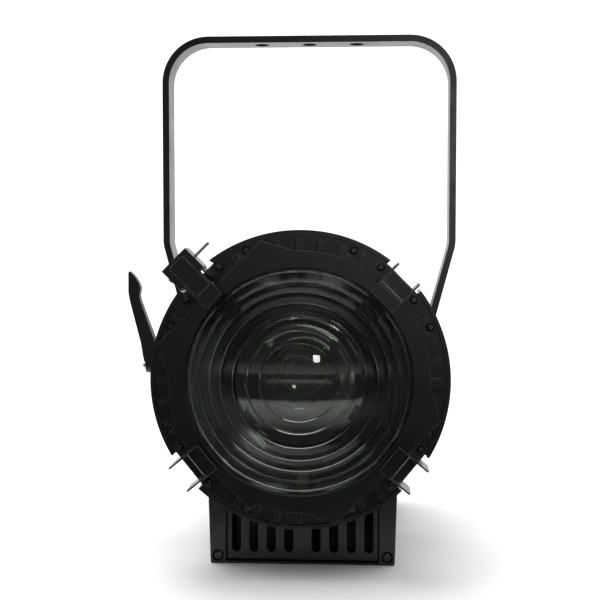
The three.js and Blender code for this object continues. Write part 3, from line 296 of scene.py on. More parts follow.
def round_lens(mesh, degrees):
    """Turns a shape drawn at angle 0 (outwards along +X) round the lens axis."""
    mesh.transform(Matrix.Rotation(-math.radians(degrees), 4, "Y"))
    return mesh


def arc(radius, start, end, steps, centre=(0.0, 0.0)):
    """Points on a circle between two angles in degrees."""
    angles = [math.radians(start + (end - start) * i / steps) for i in range(steps + 1)]
    return [(centre[0] + radius * math.cos(a), centre[1] + radius * math.sin(a)) for a in angles]


def rounded_rectangle(half_width, half_height, radius, steps=8):
    w, h = half_width - radius, half_height - radius
    points = []
    for turn, (x, y) in enumerate([(w, h), (-w, h), (-w, -h), (w, -h)]):
        points += arc(radius, 90 * turn, 90 * turn + 90, steps, (x, y))
    return points


def filleted(path, radii, steps=8):
    """An open path with its inner corners rounded, one radius for each inner corner."""
    points = [Vector(path[0])]
    for before, corner, after, radius in zip(path, path[1:], path[2:], radii):
        corner = Vector(corner)
        back = (Vector(before) - corner).normalized()
        on = (Vector(after) - corner).normalized()
        half = back.angle(on) / 2
        reach = radius / math.tan(half)
        centre = corner + (back + on).normalized() * (radius / math.sin(half))
        first, last = corner + back * reach - centre, corner + on * reach - centre
        sweep = first.angle_signed(last)
        for i in range(steps + 1):
            a = -sweep * i / steps
            turned_by = Vector((
                first.x * math.cos(a) - first.y * math.sin(a),
                first.x * math.sin(a) + first.y * math.cos(a),
            ))
            points.append(centre + turned_by)
    points.append(Vector(path[-1]))
    return points


def strip(path, thickness, radii, steps=8):
    """Outline of a flat strip bent along a path, half its thickness on each side."""
    points = filleted(path, radii, steps)
    left, right = [], []
    for i, point in enumerate(points):
        ahead = points[min(i + 1, len(points) - 1)] - points[max(i - 1, 0)]
        side = Vector((-ahead.y, ahead.x)).normalized() * thickness / 2
        left.append(tuple(point + side))
        right.append(tuple(point - side))
    return left + right[::-1]


def merged(*meshes):
    """Several meshes in one, without cutting them into each other."""
    result = bmesh.new()
    for mesh in meshes:
        copy = bpy.data.meshes.new("part")
        mesh.to_mesh(copy)
        result.from_mesh(copy)
        bpy.data.meshes.remove(copy)
        mesh.free()
    return result


def scratch(mesh):
    """A temporary object that holds a mesh."""
    data = bpy.data.meshes.new("scratch")
    mesh.to_mesh(data)
    mesh.free()
    made = bpy.data.objects.new("scratch", data)
    bpy.context.scene.collection.objects.link(made)
    return made


def combined(base, steps):
    """Joins and cuts: steps is a list of (operation, mesh) applied to the base in order."""
    body = scratch(base)
    tools = []
    for operation, mesh in steps:
        tool = scratch(mesh)
        tools.append(tool)
        change = body.modifiers.new(operation, "BOOLEAN")
        change.operation = operation
        change.solver = "EXACT"
        change.use_self = True
        change.object = tool
    graph = bpy.context.evaluated_depsgraph_get()
    result = bmesh.new()
    shaped = body.evaluated_get(graph)
    result.from_mesh(shaped.to_mesh())
    shaped.to_mesh_clear()
    for item in [body, *tools]:
        data = item.data
        bpy.data.objects.remove(item)
        bpy.data.meshes.remove(data)
    bmesh.ops.remove_doubles(result, verts=result.verts[:], dist=1e-4)
    bmesh.ops.dissolve_degenerate(result, edges=result.edges[:], dist=1e-4)
    return result


def piece(name, mesh, finish, body="housing", replaces=(), edge=0.0, segments=2, centre=None,
          angle=32):
    """A finished piece: the millimetre mesh in the frame's metres, its bevel, finish and body."""
    if centre is not None:
        mesh.transform(Matrix.Translation(Vector(centre)))
    mesh.transform(Matrix.Scale(MM, 4))
    data = bpy.data.meshes.new(name)
    mesh.to_mesh(data)
    mesh.free()
    data.shade_smooth()
    data.set_sharp_from_angle(angle=math.radians(angle))
    made = bpy.data.objects.new(name, data)
    bpy.context.scene.collection.objects.link(made)
    data.materials.append(finish)
    if edge:
        round_edges(made, edge, segments, angle)
    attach(made, body)
    if replaces:
        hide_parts(*replaces)
    return made


def round_edges(item, edge, segments=2, angle=32):
    bevel = item.modifiers.new("edges", "BEVEL")
    bevel.width = edge * MM
    bevel.segments = segments
    bevel.limit_method = "ANGLE"
    bevel.angle_limit = math.radians(angle)
    bevel.harden_normals = False
    bevel.use_clamp_overlap = True
    even = item.modifiers.new("flats", "WEIGHTED_NORMAL")
    even.keep_sharp = True
    even.weight = 80


def carry_over(node, finish, edge=0.0, segments=2):
    """A frame node that stays as it is, with a finish and rounded edges."""
    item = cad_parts[node]
    item.data.materials.clear()
    item.data.materials.append(finish)
    if edge:
        round_edges(item, edge, segments, 50)


AXIS = (0.0, 0.0, LENS_AXIS)
PIVOT = (0.0, 0.0, TILT_AXIS)


# ---------------------------------------------------------------- finishes
class Nodes:
    """Adds nodes to a new material and links them by name."""

    def __init__(self, name):
        self.material = bpy.data.materials.new(name)
        self.material.use_nodes = True
        self.tree = self.material.node_tree
        self.shader = self.tree.nodes["Principled BSDF"]
        self.coordinates = self.add("ShaderNodeTexCoord").outputs["Object"]

    def add(self, kind, **values):
        node = self.tree.nodes.new(kind)
        for key, value in values.items():
            if key in node.inputs:
                node.inputs[key].default_value = value
            else:
                setattr(node, key, value)
        return node

    def link(self, start, end):
        self.tree.links.new(start, end)

    def noise(self, scale, detail=3.0, stretch=(1.0, 1.0, 1.0), roughness=0.55):
        spread = self.add("ShaderNodeMapping")
        spread.inputs["Scale"].default_value = stretch
        self.link(self.coordinates, spread.inputs["Vector"])
        noise = self.add("ShaderNodeTexNoise")
        noise.inputs["Scale"].default_value = scale
        noise.inputs["Detail"].default_value = detail
        noise.inputs["Roughness"].default_value = roughness
        self.link(spread.outputs["Vector"], noise.inputs["Vector"])
        return noise.outputs["Fac"]

    def ranged(self, value, low, high, start=0.3, end=0.7):
        node = self.add("ShaderNodeMapRange")
        node.inputs["From Min"].default_value = start
        node.inputs["From Max"].default_value = end
        node.inputs["To Min"].default_value = low
        node.inputs["To Max"].default_value = high
        self.link(value, node.inputs["Value"])
        return node.outputs["Result"]

    def mixed(self, factor, first, second):
        node = self.add("ShaderNodeMix", data_type="RGBA")
        self.link(factor, node.inputs["Factor"])
        for socket, colour in ((node.inputs[6], first), (node.inputs[7], second)):
            if isinstance(colour, bpy.types.NodeSocket):
                self.link(colour, socket)
            else:
                socket.default_value = (*colour[:3], 1.0)
        return node.outputs[2]

    def bump(self, height, strength, distance):
        node = self.add("ShaderNodeBump")
        node.inputs["Strength"].default_value = strength
        node.inputs["Distance"].default_value = distance
        self.link(height, node.inputs["Height"])
        self.link(node.outputs["Normal"], self.shader.inputs["Normal"])

    def blend_base(self, factor, first, second):
        """Base colour drifting between two shades."""
        self.link(self.mixed(self.ranged(factor, 0, 1), first, second), self.shader.inputs["Base Color"])

    def edges(self, width=0.9, start=0.84, end=0.975):
        """Within the given width of an edge, in millimetres: the mask for the painted edge highlight that
        stands in for light caught on rounded edges, and for paint worn thin there.
        """
        softened = self.add("ShaderNodeBevel")
        softened.samples = 6
        softened.inputs["Radius"].default_value = width * MM
        turn = self.add("ShaderNodeVectorMath", operation="DOT_PRODUCT")
        self.link(softened.outputs["Normal"], turn.inputs[0])
        self.link(self.add("ShaderNodeNewGeometry").outputs["Normal"], turn.inputs[1])
        return self.ranged(turn.outputs["Value"], 1.0, 0.0, start, end)


def shade(colour, factor):
    return tuple(min(1.0, channel * factor) for channel in colour)


def coating(name, colour, roughness, grain, depth, edge_highlight_and_wear_colour=None, edge_highlight_and_wear_amount=0.5, metallic=0.0,
            stretch=(1, 1, 1), specular=0.5):
    """A finish with fine grain in its relief, drifting gloss and colour, and edges painted lighter: a painted
    highlight standing in for light caught on rounded edges, broken into patches like worn paint.
    """
    nodes = Nodes(name)
    drift = nodes.noise(14.0, 4.0)
    colour_out = nodes.mixed(nodes.ranged(drift, 0.0, 1.0), shade(colour, 0.82), shade(colour, 1.2))
    # edges painted lighter: a painted highlight for light caught on rounded edges, patchy like worn paint
    if edge_highlight_and_wear_colour:
        patchy = nodes.noise(90.0, 5.0)
        edge_highlight_and_wear = nodes.add("ShaderNodeMath", operation="MULTIPLY")
        nodes.link(nodes.edges(), edge_highlight_and_wear.inputs[0])
        nodes.link(nodes.ranged(patchy, edge_highlight_and_wear_amount * 0.4, edge_highlight_and_wear_amount, 0.35, 0.6), edge_highlight_and_wear.inputs[1])
        colour_out = nodes.mixed(edge_highlight_and_wear.outputs[0], colour_out, edge_highlight_and_wear_colour)
    nodes.link(colour_out, nodes.shader.inputs["Base Color"])
    fine = nodes.noise(grain, 4.0, stretch, 0.6)
    gloss = nodes.ranged(nodes.noise(38.0, 5.0), roughness * 0.86, roughness * 1.16)
    nodes.link(gloss, nodes.shader.inputs["Roughness"])
    nodes.bump(fine, 0.35, depth)
    nodes.shader.inputs["Metallic"].default_value = metallic
    nodes.shader.inputs["Specular IOR Level"].default_value = specular
    return nodes.material


def mirror_face(nodes):
    """A polished outer film that mirrors the room more strongly than plain glass."""
    nodes.shader.inputs["Coat Weight"].default_value = 1.0
    nodes.shader.inputs["Coat Roughness"].default_value = 0.02
    nodes.shader.inputs["Coat IOR"].default_value = 1.75


def condenser_glass():
    nodes = Nodes("condenser_glass")
    cloud = nodes.noise(18.0, 4.0)
    nodes.blend_base(cloud, (0.86, 0.87, 0.84), (0.90, 0.90, 0.87))
    nodes.link(nodes.ranged(nodes.noise(60.0, 4.0), 0.01, 0.03), nodes.shader.inputs["Roughness"])
    nodes.shader.inputs["Transmission Weight"].default_value = 1.0
    nodes.shader.inputs["IOR"].default_value = 1.47
    mirror_face(nodes)
    return nodes.material


def glossy_bezel():
    nodes = Nodes("glossy_bezel_black")
    drift = nodes.noise(40.0, 4.0)
    nodes.blend_base(drift, (0.008, 0.008, 0.008), (0.014, 0.014, 0.014))
    nodes.link(nodes.ranged(drift, 0.04, 0.08), nodes.shader.inputs["Roughness"])
    mirror_face(nodes)
    return nodes.material


def stippled_glass():
    """Clear pressed glass with a faint tint, smooth in the middle and stippled further out."""
    nodes = Nodes("pressed_lens_glass")
    cloud = nodes.noise(18.0, 4.0)
    nodes.blend_base(cloud, (0.90, 0.93, 0.91), (0.95, 0.965, 0.95))
    reach = nodes.add("ShaderNodeVectorMath", operation="LENGTH")
    across = nodes.add("ShaderNodeVectorMath", operation="MULTIPLY_ADD")
    across.inputs[1].default_value = (1.0, 0.0, 1.0)
    across.inputs[2].default_value = (0.0, 0.0, -LENS_AXIS * MM)
    nodes.link(nodes.add("ShaderNodeTexCoord").outputs["Object"], across.inputs[0])
    nodes.link(across.outputs["Vector"], reach.inputs[0])
    stipple = nodes.ranged(reach.outputs["Value"], 0.02, 0.17, 0.050, 0.066)
    nodes.link(stipple, nodes.shader.inputs["Roughness"])
    nodes.shader.inputs["Transmission Weight"].default_value = 1.0
    nodes.shader.inputs["IOR"].default_value = 1.47
    nodes.shader.inputs["Specular IOR Level"].default_value = 0.3
    return nodes.material


def phosphor_disc():
    nodes = Nodes("led_phosphor_darkened_as_shade")
    spots = nodes.noise(900.0, 2.0)
    # the colour is darkened to brown: painted shade over the phosphor's own yellow
    colour = finishes().phosphor
    nodes.blend_base(spots, shade(colour, 0.8), shade(colour, 1.15))
    nodes.link(nodes.ranged(spots, 0.35, 0.55), nodes.shader.inputs["Roughness"])
    nodes.bump(spots, 0.3, 0.0001)
    return nodes.material


FINISH = {}


def make_finishes():
    """Every finish of the spotlight, by the name of its material slot."""
    look = finishes()
    # the light grey painted onto edges: a painted edge highlight, patchy like worn paint
    edge_highlight_and_wear = (0.42, 0.42, 0.43)
    FINISH.update({
        "black_paint": coating("powder_coat_black", tuple(look.paint), look.paint_roughness,
                               2600, 0.00005, edge_highlight_and_wear, 0.4),
        "dark_paint": coating("flat_black_paint", shade(look.paint, 0.9), 0.62,
                              1800, 0.00005, edge_highlight_and_wear, 0.25, specular=0.25),
        "black_sheet": coating("painted_sheet_black", tuple(look.sheet), 0.29, 2200, 0.00004, edge_highlight_and_wear, 0.9),
        "black_plastic": coating("grained_nylon_black", tuple(look.plastic), 0.4,
                                 1500, 0.00008, edge_highlight_and_wear, 0.2, specular=0.45),
        "bright_steel": coating("zinc_plated_steel", tuple(look.steel), 0.27, 900, 0.00003,
                                metallic=1.0, stretch=(1, 6, 6)),
        "black_screw": coating("black_oxide_steel", (0.03, 0.03, 0.031), 0.36,
                               1200, 0.00003, edge_highlight_and_wear, 0.7, 0.9),
        "rubber": coating("moulded_rubber", (0.012, 0.012, 0.012), 0.72, 1300, 0.0001),
        "aluminium": coating("brushed_aluminium", (0.62, 0.63, 0.64), 0.33, 500, 0.00003,
                             metallic=1.0, stretch=(1, 1, 14)),
        # brass darkened close to black: painted shade for the zoom nut inside the housing; the socket
        # contacts use it too
        "brass": coating("brass_darkened_as_shade", (0.05, 0.037, 0.018), 0.45, 900, 0.00003, metallic=1.0),
        "circuit_board": coating("dark_solder_mask", (0.003, 0.016, 0.007), 0.3, 700, 0.00004),
        "ground_steel": coating("ground_steel", (0.16, 0.16, 0.16), 0.3, 900, 0.00002,
                                metallic=1.0, stretch=(1, 8, 8)),
        "led_board": coating("ceramic_board", (0.16, 0.155, 0.14), 0.45, 900, 0.00003),
        "display_glass": coating("dark_display_window", (0.004, 0.006, 0.012), 0.09, 300, 0.000004),
        "gloss_black": glossy_bezel(),
        "condenser_glass": condenser_glass(),
        "inner_black": coating("matt_black_lining", (0.005, 0.005, 0.005), 0.7, 1500, 0.00006),
        "lens_glass": stippled_glass(),
        "phosphor": phosphor_disc(),
    })


# ---------------------------------------------------------------- front ring
def notch_walls(angle):
    """The flat wall behind a clip, and the space cut out for it."""
    floor = RING_RADIUS - 5.5
    gap = round_lens(block(floor, RING_RADIUS + 9, RIM_FRONT - 2, RING_BACK + 2, -18.5, 18.5), angle)
    wall = round_lens(block(floor - 3, floor, FACE, RING_BACK, -21.5, 21.5), angle)
    return gap, wall


def clip_screw_places():
    """Angle and side offset of the two screws that hold each clip."""
    return [(angle, side * 20.2) for angle in (*CLIP_ANGLES.values(), LATCH_ANGLE) for side in (-1, 1)]


class SPOTLIGHT_OT_front_ring(bpy.types.Operator):
    """Builds the cast front ring with its rim, ribs and clip notches"""

    bl_idname = "spotlight.front_ring"
    bl_label = "Front ring"

    def execute(self, context):
        size = sizes()
        wall = RING_RADIUS - 3.0
        collar_in = LENS_RADIUS + 0.3
        collar_out = collar_in + 6.0
        collar_front = FACE - 14.3
        seat_in = LENS_RADIUS - 4.5
        seat_front = collar_front + 0.3 + 6.0 + 0.3 + 1.5 + 0.3
        ring = turned([
            (seat_in, seat_front),
            (collar_in, seat_front),
            (collar_in, collar_front),
            (collar_out, collar_front),
            (collar_out, FACE),
            (wall - 1.2, FACE),
            (wall - 1.2, FACE + 1.6),
            (wall, FACE + 1.6),
            (wall, RIM_FRONT),
            (RING_RADIUS, RIM_FRONT),
            (RING_RADIUS, RIM_FRONT + 15.0),
            (RING_RADIUS - 0.7, RIM_FRONT + 15.6),
            (RING_RADIUS - 0.7, RIM_FRONT + 16.8),
            (RING_RADIUS, RIM_FRONT + 17.4),
            (RING_RADIUS, RING_BACK),
            (wall, RING_BACK),
            (wall, FACE + 4.0),
            (collar_out, FACE + 4.0),
            (seat_in, seat_front + 3.0),
        ], 200)
        step = 360.0 / size.rib_count
        ribs = []
        for i in range(size.rib_count):
            turn = i * step
            if any(abs((angle - turn + 180) % 360 - 180) < 12.8
                   for angle in (*CLIP_ANGLES.values(), LATCH_ANGLE)):
                continue
            half = size.rib_width / 2
            rib = block(collar_out - 0.6, RING_RADIUS - 8.0, FACE - 13.4, FACE + 0.6, -half, half)
            ribs.append(round_lens(rib, turn))
        gaps, walls = zip(*[notch_walls(angle) for angle in (*CLIP_ANGLES.values(), LATCH_ANGLE)])
        holes = []
        for i in range(8):
            hole = rod((RING_RADIUS - 8.5, FACE - 1, 0), (RING_RADIUS - 8.5, FACE + 6, 0), 2.3, steps=20)
            holes.append(round_lens(hole, 22.5 + 45 * i))
        for angle, offset in clip_screw_places():
            r = RING_RADIUS - 11.5
            holes.append(round_lens(rod((r, FACE - 1, offset), (r, FACE + 6, offset), 2.3, steps=20), angle))
        shaped = combined(ring, [
            ("DIFFERENCE", merged(*gaps)),
            ("UNION", merged(*walls)),
            ("UNION", merged(*ribs)),
            ("DIFFERENCE", merged(*holes)),
        ])
        piece("front_ring_casting", shaped, FINISH["black_paint"], replaces=["front_ring"],
              edge=size.edge_round * 0.8, centre=AXIS)
        return {"FINISHED"}


# ---------------------------------------------------------------- lens plate, lens and gasket
def plate_outline():
    """Two long and two short straight sides, with a shallow arc between each pair."""
    chord = LENS_RADIUS + 7.0
    long_half, short_half = 65.0, 48.6
    limit = RING_RADIUS - 3.0 - 0.6
    long_turn = math.degrees(math.atan2(long_half, chord))
    short_turn = math.degrees(math.atan2(short_half, chord))
    long_radius = min(math.hypot(long_half, chord), limit)
    short_radius = math.hypot(short_half, chord)
    shoulder = 45.0 - short_turn - 1.5
    polar = lambda r, a: (r * math.cos(math.radians(a)), r * math.sin(math.radians(a)))
    points = []
    for quarter in range(4):
        start = 90 * quarter
        here = start + 45
        if quarter % 2 == 0:
            points += [polar(short_radius, here - short_turn), polar(short_radius, here + short_turn)]
            points += arc(chord + 5.0, start + 90 - shoulder, start + 91.5, 10)
        else:
            points += [polar(long_radius, here - long_turn + 1.1), polar(long_radius, here + long_turn - 1.1)]
            points += arc(chord + 5.0, start + 88.5, start + 90 + shoulder, 10)
    return points


class SPOTLIGHT_OT_lens_plate(bpy.types.Operator):
    """Builds the eight-sided plate that holds the lens in its ring"""

    bl_idname = "spotlight.lens_plate"
    bl_label = "Lens plate"

    def execute(self, context):
        plate = extruded(plate_outline(), PLATE_LOW.y, PLATE_HIGH.y)
        opening = LENS_RADIUS - 3.5
        hole = turned([
            (0, PLATE_LOW.y - 1),
            (opening + 1.6, PLATE_LOW.y - 1),
            (opening + 1.0, PLATE_LOW.y + 0.35),
            (opening, PLATE_LOW.y + 1.2),
            (opening, PLATE_HIGH.y + 1),
            (0, PLATE_HIGH.y + 1),
        ], 200)
        shaped = combined(plate, [("DIFFERENCE", hole)])
        piece("lens_retainer_plate", shaped, FINISH["black_paint"], replaces=["lens_plate"],
              edge=sizes().edge_round, segments=3, centre=AXIS, angle=24)
        return {"FINISHED"}


LENS_SHARES = (0.115, 0.223, 0.337, 0.444, 0.567, 0.673, 0.766, 0.849, 0.933)  # of the lens's radius
LENS_STEPS = tuple(LENS_RADIUS * share for share in LENS_SHARES)


def lens_profile():
    """Half section of the stepped lens, its zones slices of one sphere."""
    front = PLATE_HIGH.y + 0.6
    back = front + 6.0
    crest = front - 4.0
    sphere = 1.48 * LENS_RADIUS
    drop = lambda r: sphere - math.sqrt(sphere**2 - r**2)
    profile = [(0, crest)]
    start = 0.0
    for end in (*LENS_STEPS, LENS_RADIUS - 4.1):
        for k in range(1, 6):
            r = start + (end - start) * k / 5
            profile.append((r, crest + drop(r) - drop(start)))
        if end in LENS_STEPS:
            profile += [(end + 0.12, crest + 0.12), (end + 0.35, crest)]
        start = end + 0.35
    profile += [(LENS_RADIUS - 4.1, front), (LENS_RADIUS, front), (LENS_RADIUS, back), (0, back)]
    return profile


class SPOTLIGHT_OT_lens(bpy.types.Operator):
    """Builds the stepped glass lens and its gasket"""

    bl_idname = "spotlight.lens"
    bl_label = "Lens and gasket"

    def execute(self, context):
        piece("stepped_lens", turned(lens_profile(), 192), FINISH["lens_glass"],
              replaces=["fresnel_lens"], centre=AXIS, angle=18)
        low, high = box_mm("lens_gasket")
        inner, outer = LENS_RADIUS - 4.0, LENS_RADIUS
        bead = [(inner, low.y), (outer, low.y), (outer, high.y), (inner, high.y)]
        piece("lens_gasket_ring", turned(bead, 160), FINISH["rubber"], replaces=["lens_gasket"],
              edge=0.3, centre=AXIS)
        return {"FINISHED"}


# ---------------------------------------------------------------- screws
def cross_screw(radius, height, length=8.0, shank=2.0):
    """A pan-head cross-recess screw whose head rises along -Y from y = 0."""
    steps = 28
    head = turned([
        (0, length),
        (shank, length - 0.4),
        (shank, 0),
        (radius, 0),
        (radius, -height * 0.35),
        (radius * 0.9, -height * 0.72),
        (radius * 0.66, -height * 0.94),
        (radius * 0.3, -height),
        (0, -height),
    ], steps)
    arm, width, deep = radius * 0.56, radius * 0.17, height * 0.75
    cross = [block(-arm, arm, -height - 1, -height + deep, -width, width),
             block(-width, width, -height - 1, -height + deep, -arm, arm)]
    return combined(head, [("DIFFERENCE", cross[0]), ("DIFFERENCE", cross[1])])


class SPOTLIGHT_OT_ring_screws(bpy.types.Operator):
    """Builds the cross-head screws of the front ring and the clips"""

    bl_idname = "spotlight.ring_screws"
    bl_label = "Ring and clip screws"

    def execute(self, context):
        radius = sizes().screw_head
        for i in range(8):
            angle = 22.5 + 45 * i
            screw = moved(cross_screw(radius, 2.2), (RING_RADIUS - 8.5, FACE - 0.05, 0))
            piece(f"ring_screw_{i + 1}", round_lens(screw, angle), FINISH["black_screw"],
                  edge=0.12, centre=AXIS)
        for i, (angle, offset) in enumerate(clip_screw_places(), 1):
            screw = cross_screw(radius - 0.2, 2.0)
            screw.transform(Matrix.Rotation(math.radians(37 * i), 4, "Y"))
            moved(screw, (RING_RADIUS - 11.5, FACE - 0.3 - SHEET - 0.05, offset))
            piece(f"clip_screw_{i}", round_lens(screw, angle), FINISH["black_screw"],
                  edge=0.12, centre=AXIS)
        return {"FINISHED"}


# ---------------------------------------------------------------- clips and latch
def foot_sheet(panel_end):
    """The clip's foot on the ring: a back panel between two round-ended screw tabs."""
    back = FACE - 0.3
    r, reach = RING_RADIUS - 11.5, 20.2
    half = CLIP_WIDTH / 2
    outline = [(WEB - SHEET, -half), (panel_end, -half), (panel_end, half), (WEB - SHEET, half)]
    tabs = arc(5.0, 0, 180, 12, (r, reach)) + arc(5.0, 180, 360, 12, (r, -reach))
    return extruded(outline, back - SHEET, back), extruded(tabs, back - SHEET, back)


def foot_holes():
    r = RING_RADIUS - 11.5
    return merged(*[rod((r, FACE - 6, s * 20.2), (r, FACE + 1, s * 20.2), 2.3, steps=20) for s in (-1, 1)])


def clip_shape():
    """A folded sheet: lip, web and back panel, with a round-eared flange on each side."""
    half = CLIP_WIDTH / 2
    back = FACE - 0.3 - SHEET / 2
    front = LIP_FRONT + SHEET / 2
    web = WEB - SHEET / 2
    bend = sizes().bend_radius
    path = [(WEB - 13.0, front), (web, front), (web, back), (WEB - SHEET + 12.0, back)]
    fold = strip(path, SHEET, [bend, bend], 6)
    # the strip lies in the radius-and-y plane and is carried along the tangent
    sheet = extruded(fold, -half, half, "Z")
    panel, tabs = foot_sheet(WEB - SHEET + 12.0)
    panel.free()
    end = WEB - SHEET + 22.0
    ear = [(WEB - SHEET, LIP_FRONT + 0.01)]
    ear += arc(3.0, -90, 0, 6, (end - 3.0, LIP_FRONT + 3.01))
    ear += arc(3.0, 0, 90, 6, (end - 3.0, FACE - 0.31 - 3.0))
    ear += [(WEB - SHEET, FACE - 0.31)]
    flanges = [extruded(ear, half - SHEET, half, "Z"), extruded(ear, -half, -half + SHEET, "Z")]
    return combined(sheet, [
        ("UNION", tabs),
        ("UNION", flanges[0]),
        ("UNION", flanges[1]),
        ("DIFFERENCE", foot_holes()),
    ])


class SPOTLIGHT_OT_clips(bpy.types.Operator):
    """Builds the three fixed accessory clips"""

    bl_idname = "spotlight.clips"
    bl_label = "Accessory clips"

    def execute(self, context):
        for node, angle in CLIP_ANGLES.items():
            piece(node + "_sheet", round_lens(clip_shape(), angle), FINISH["black_sheet"], replaces=[node],
                  edge=sizes().sheet_round, centre=AXIS)
        return {"FINISHED"}


class SPOTLIGHT_OT_latch(bpy.types.Operator):
    """Builds the hinged latch with its bracket and pin"""

    bl_idname = "spotlight.latch"
    bl_label = "Hinged latch"

    def execute(self, context):
        half = 23.6 / 2
        front = PIN_Y - 5.0
        inner = WEB - SHEET
        panel, tabs = foot_sheet(inner + 12.0)
        ear = [(inner + 6, FACE - 0.31), (inner + 6, front + 6),
               (inner + 8, front + 2.4), (inner + 12, front)]
        ear += arc(5.0, -90, 45, 10, (PIN_RADIUS_OUT, PIN_Y))
        ear += [(inner + 16, FACE - 0.31)]
        sides = [extruded(ear, -half, -half + 1.5, "Z"), extruded(ear, half - 1.5, half, "Z")]
        pin_hole = rod((PIN_RADIUS_OUT, PIN_Y, -30), (PIN_RADIUS_OUT, PIN_Y, 30), 1.7, steps=24)
        bracket = combined(panel, [
            ("UNION", tabs),
            ("UNION", sides[0]),
            ("UNION", sides[1]),
            ("DIFFERENCE", foot_holes()),
            ("DIFFERENCE", pin_hole),
        ])
        piece("latch_bracket_sheet", round_lens(bracket, LATCH_ANGLE), FINISH["black_sheet"],
              replaces=["latch_bracket"], edge=sizes().sheet_round, centre=AXIS)
        self.arm()
        self.pin()
        return {"FINISHED"}

    def arm(self):
        """A tongue that widens to the pin, with a stepped boss and two side flanges."""
        plate_front = LIP_FRONT - 0.8
        plate_back = plate_front + SHEET
        wide, narrow = 28.5 / 2, 19.0 / 2
        tail = PIN_RADIUS_OUT + 10.0
        shoulder = PIN_RADIUS_OUT - 14.0
        tip = WEB - 13.0
        face = [(tip + 1.5, -narrow), (shoulder, -narrow), (shoulder + 2.5, -wide), (tail - 2, -wide),
                (tail, -wide + 2)]
        face += [(x, -z) for x, z in reversed(face)]
        face = [(x, z) for x, z in face]
        face += [(tip, narrow - 1.5), (tip, -narrow + 1.5)]
        sheet = extruded(face, plate_front, plate_back)
        web = block(WEB - SHEET, WEB, plate_front + 0.2, PLATE_LOW.y - 1.5, -narrow, narrow)
        steps = [("UNION", web)]
        boss = [(WEB, -8.0), (PIN_RADIUS_OUT + 5.5, -8.0), (tail - 3, -6.0), (tail - 3, 6.0),
                (PIN_RADIUS_OUT + 5.5, 8.0), (WEB, 8.0)]
        steps.append(("UNION", extruded(boss, plate_front - 1.2, plate_front + 0.4)))
        side = [(shoulder + 0.4, plate_front + 0.1), (tail, plate_front + 0.1)]
        side += arc(4.0, 0, 90, 6, (tail - 4.0, plate_front + 18.0))
        side += arc(6.0, 90, 180, 6, (shoulder + 6.4, plate_front + 16.0))
        for z in (wide - 1.5, -wide):
            steps.append(("UNION", extruded(side, z, z + 1.5, "Z")))
        pin_bore = rod((PIN_RADIUS_OUT, PIN_Y, -30), (PIN_RADIUS_OUT, PIN_Y, 30), 1.75, steps=24)
        steps.append(("DIFFERENCE", pin_bore))
        arm = combined(sheet, steps)
        piece("latch_retainer", round_lens(arm, LATCH_ANGLE), FINISH["black_sheet"], body="latch",
              replaces=["latch_arm"], edge=sizes().sheet_round * 1.3, centre=AXIS)

    def pin(self):
        """The bright hinge pin, drawn along Z from its upper end and headed there."""
        lower, upper = -31.0, 17.0
        shaft = turned([(0, lower), (1.1, lower), (1.5, lower + 0.5), (1.5, upper - 2.0), (2.7, upper - 2.0),
                        (2.7, upper - 0.6), (2.0, upper), (0, upper)], 32)
        shaft.transform(Matrix.Rotation(math.radians(90), 4, "X"))
        moved(shaft, (PIN_RADIUS_OUT, PIN_Y, 0))
        piece("latch_hinge_pin", round_lens(shaft, LATCH_ANGLE), FINISH["bright_steel"],
              replaces=["latch_pin"], centre=AXIS)


# ---------------------------------------------------------------- housing
SHELL_HALF = REAR_HIGH.x
CORNER = 46.0


def socket_screw(radius, height, steps=28):
    """A socket-head screw whose head rises along -Y from y = 0."""
    head = turned([(0, 6), (radius * 0.55, 6), (radius * 0.55, 0), (radius, 0), (radius, -height + 0.4),
                   (radius - 0.4, -height), (0, -height)], steps)
    socket = rod((0, -height - 1, 0), (0, -height * 0.3, 0), radius * 0.55, steps=6)
    return combined(head, [("DIFFERENCE", socket)])


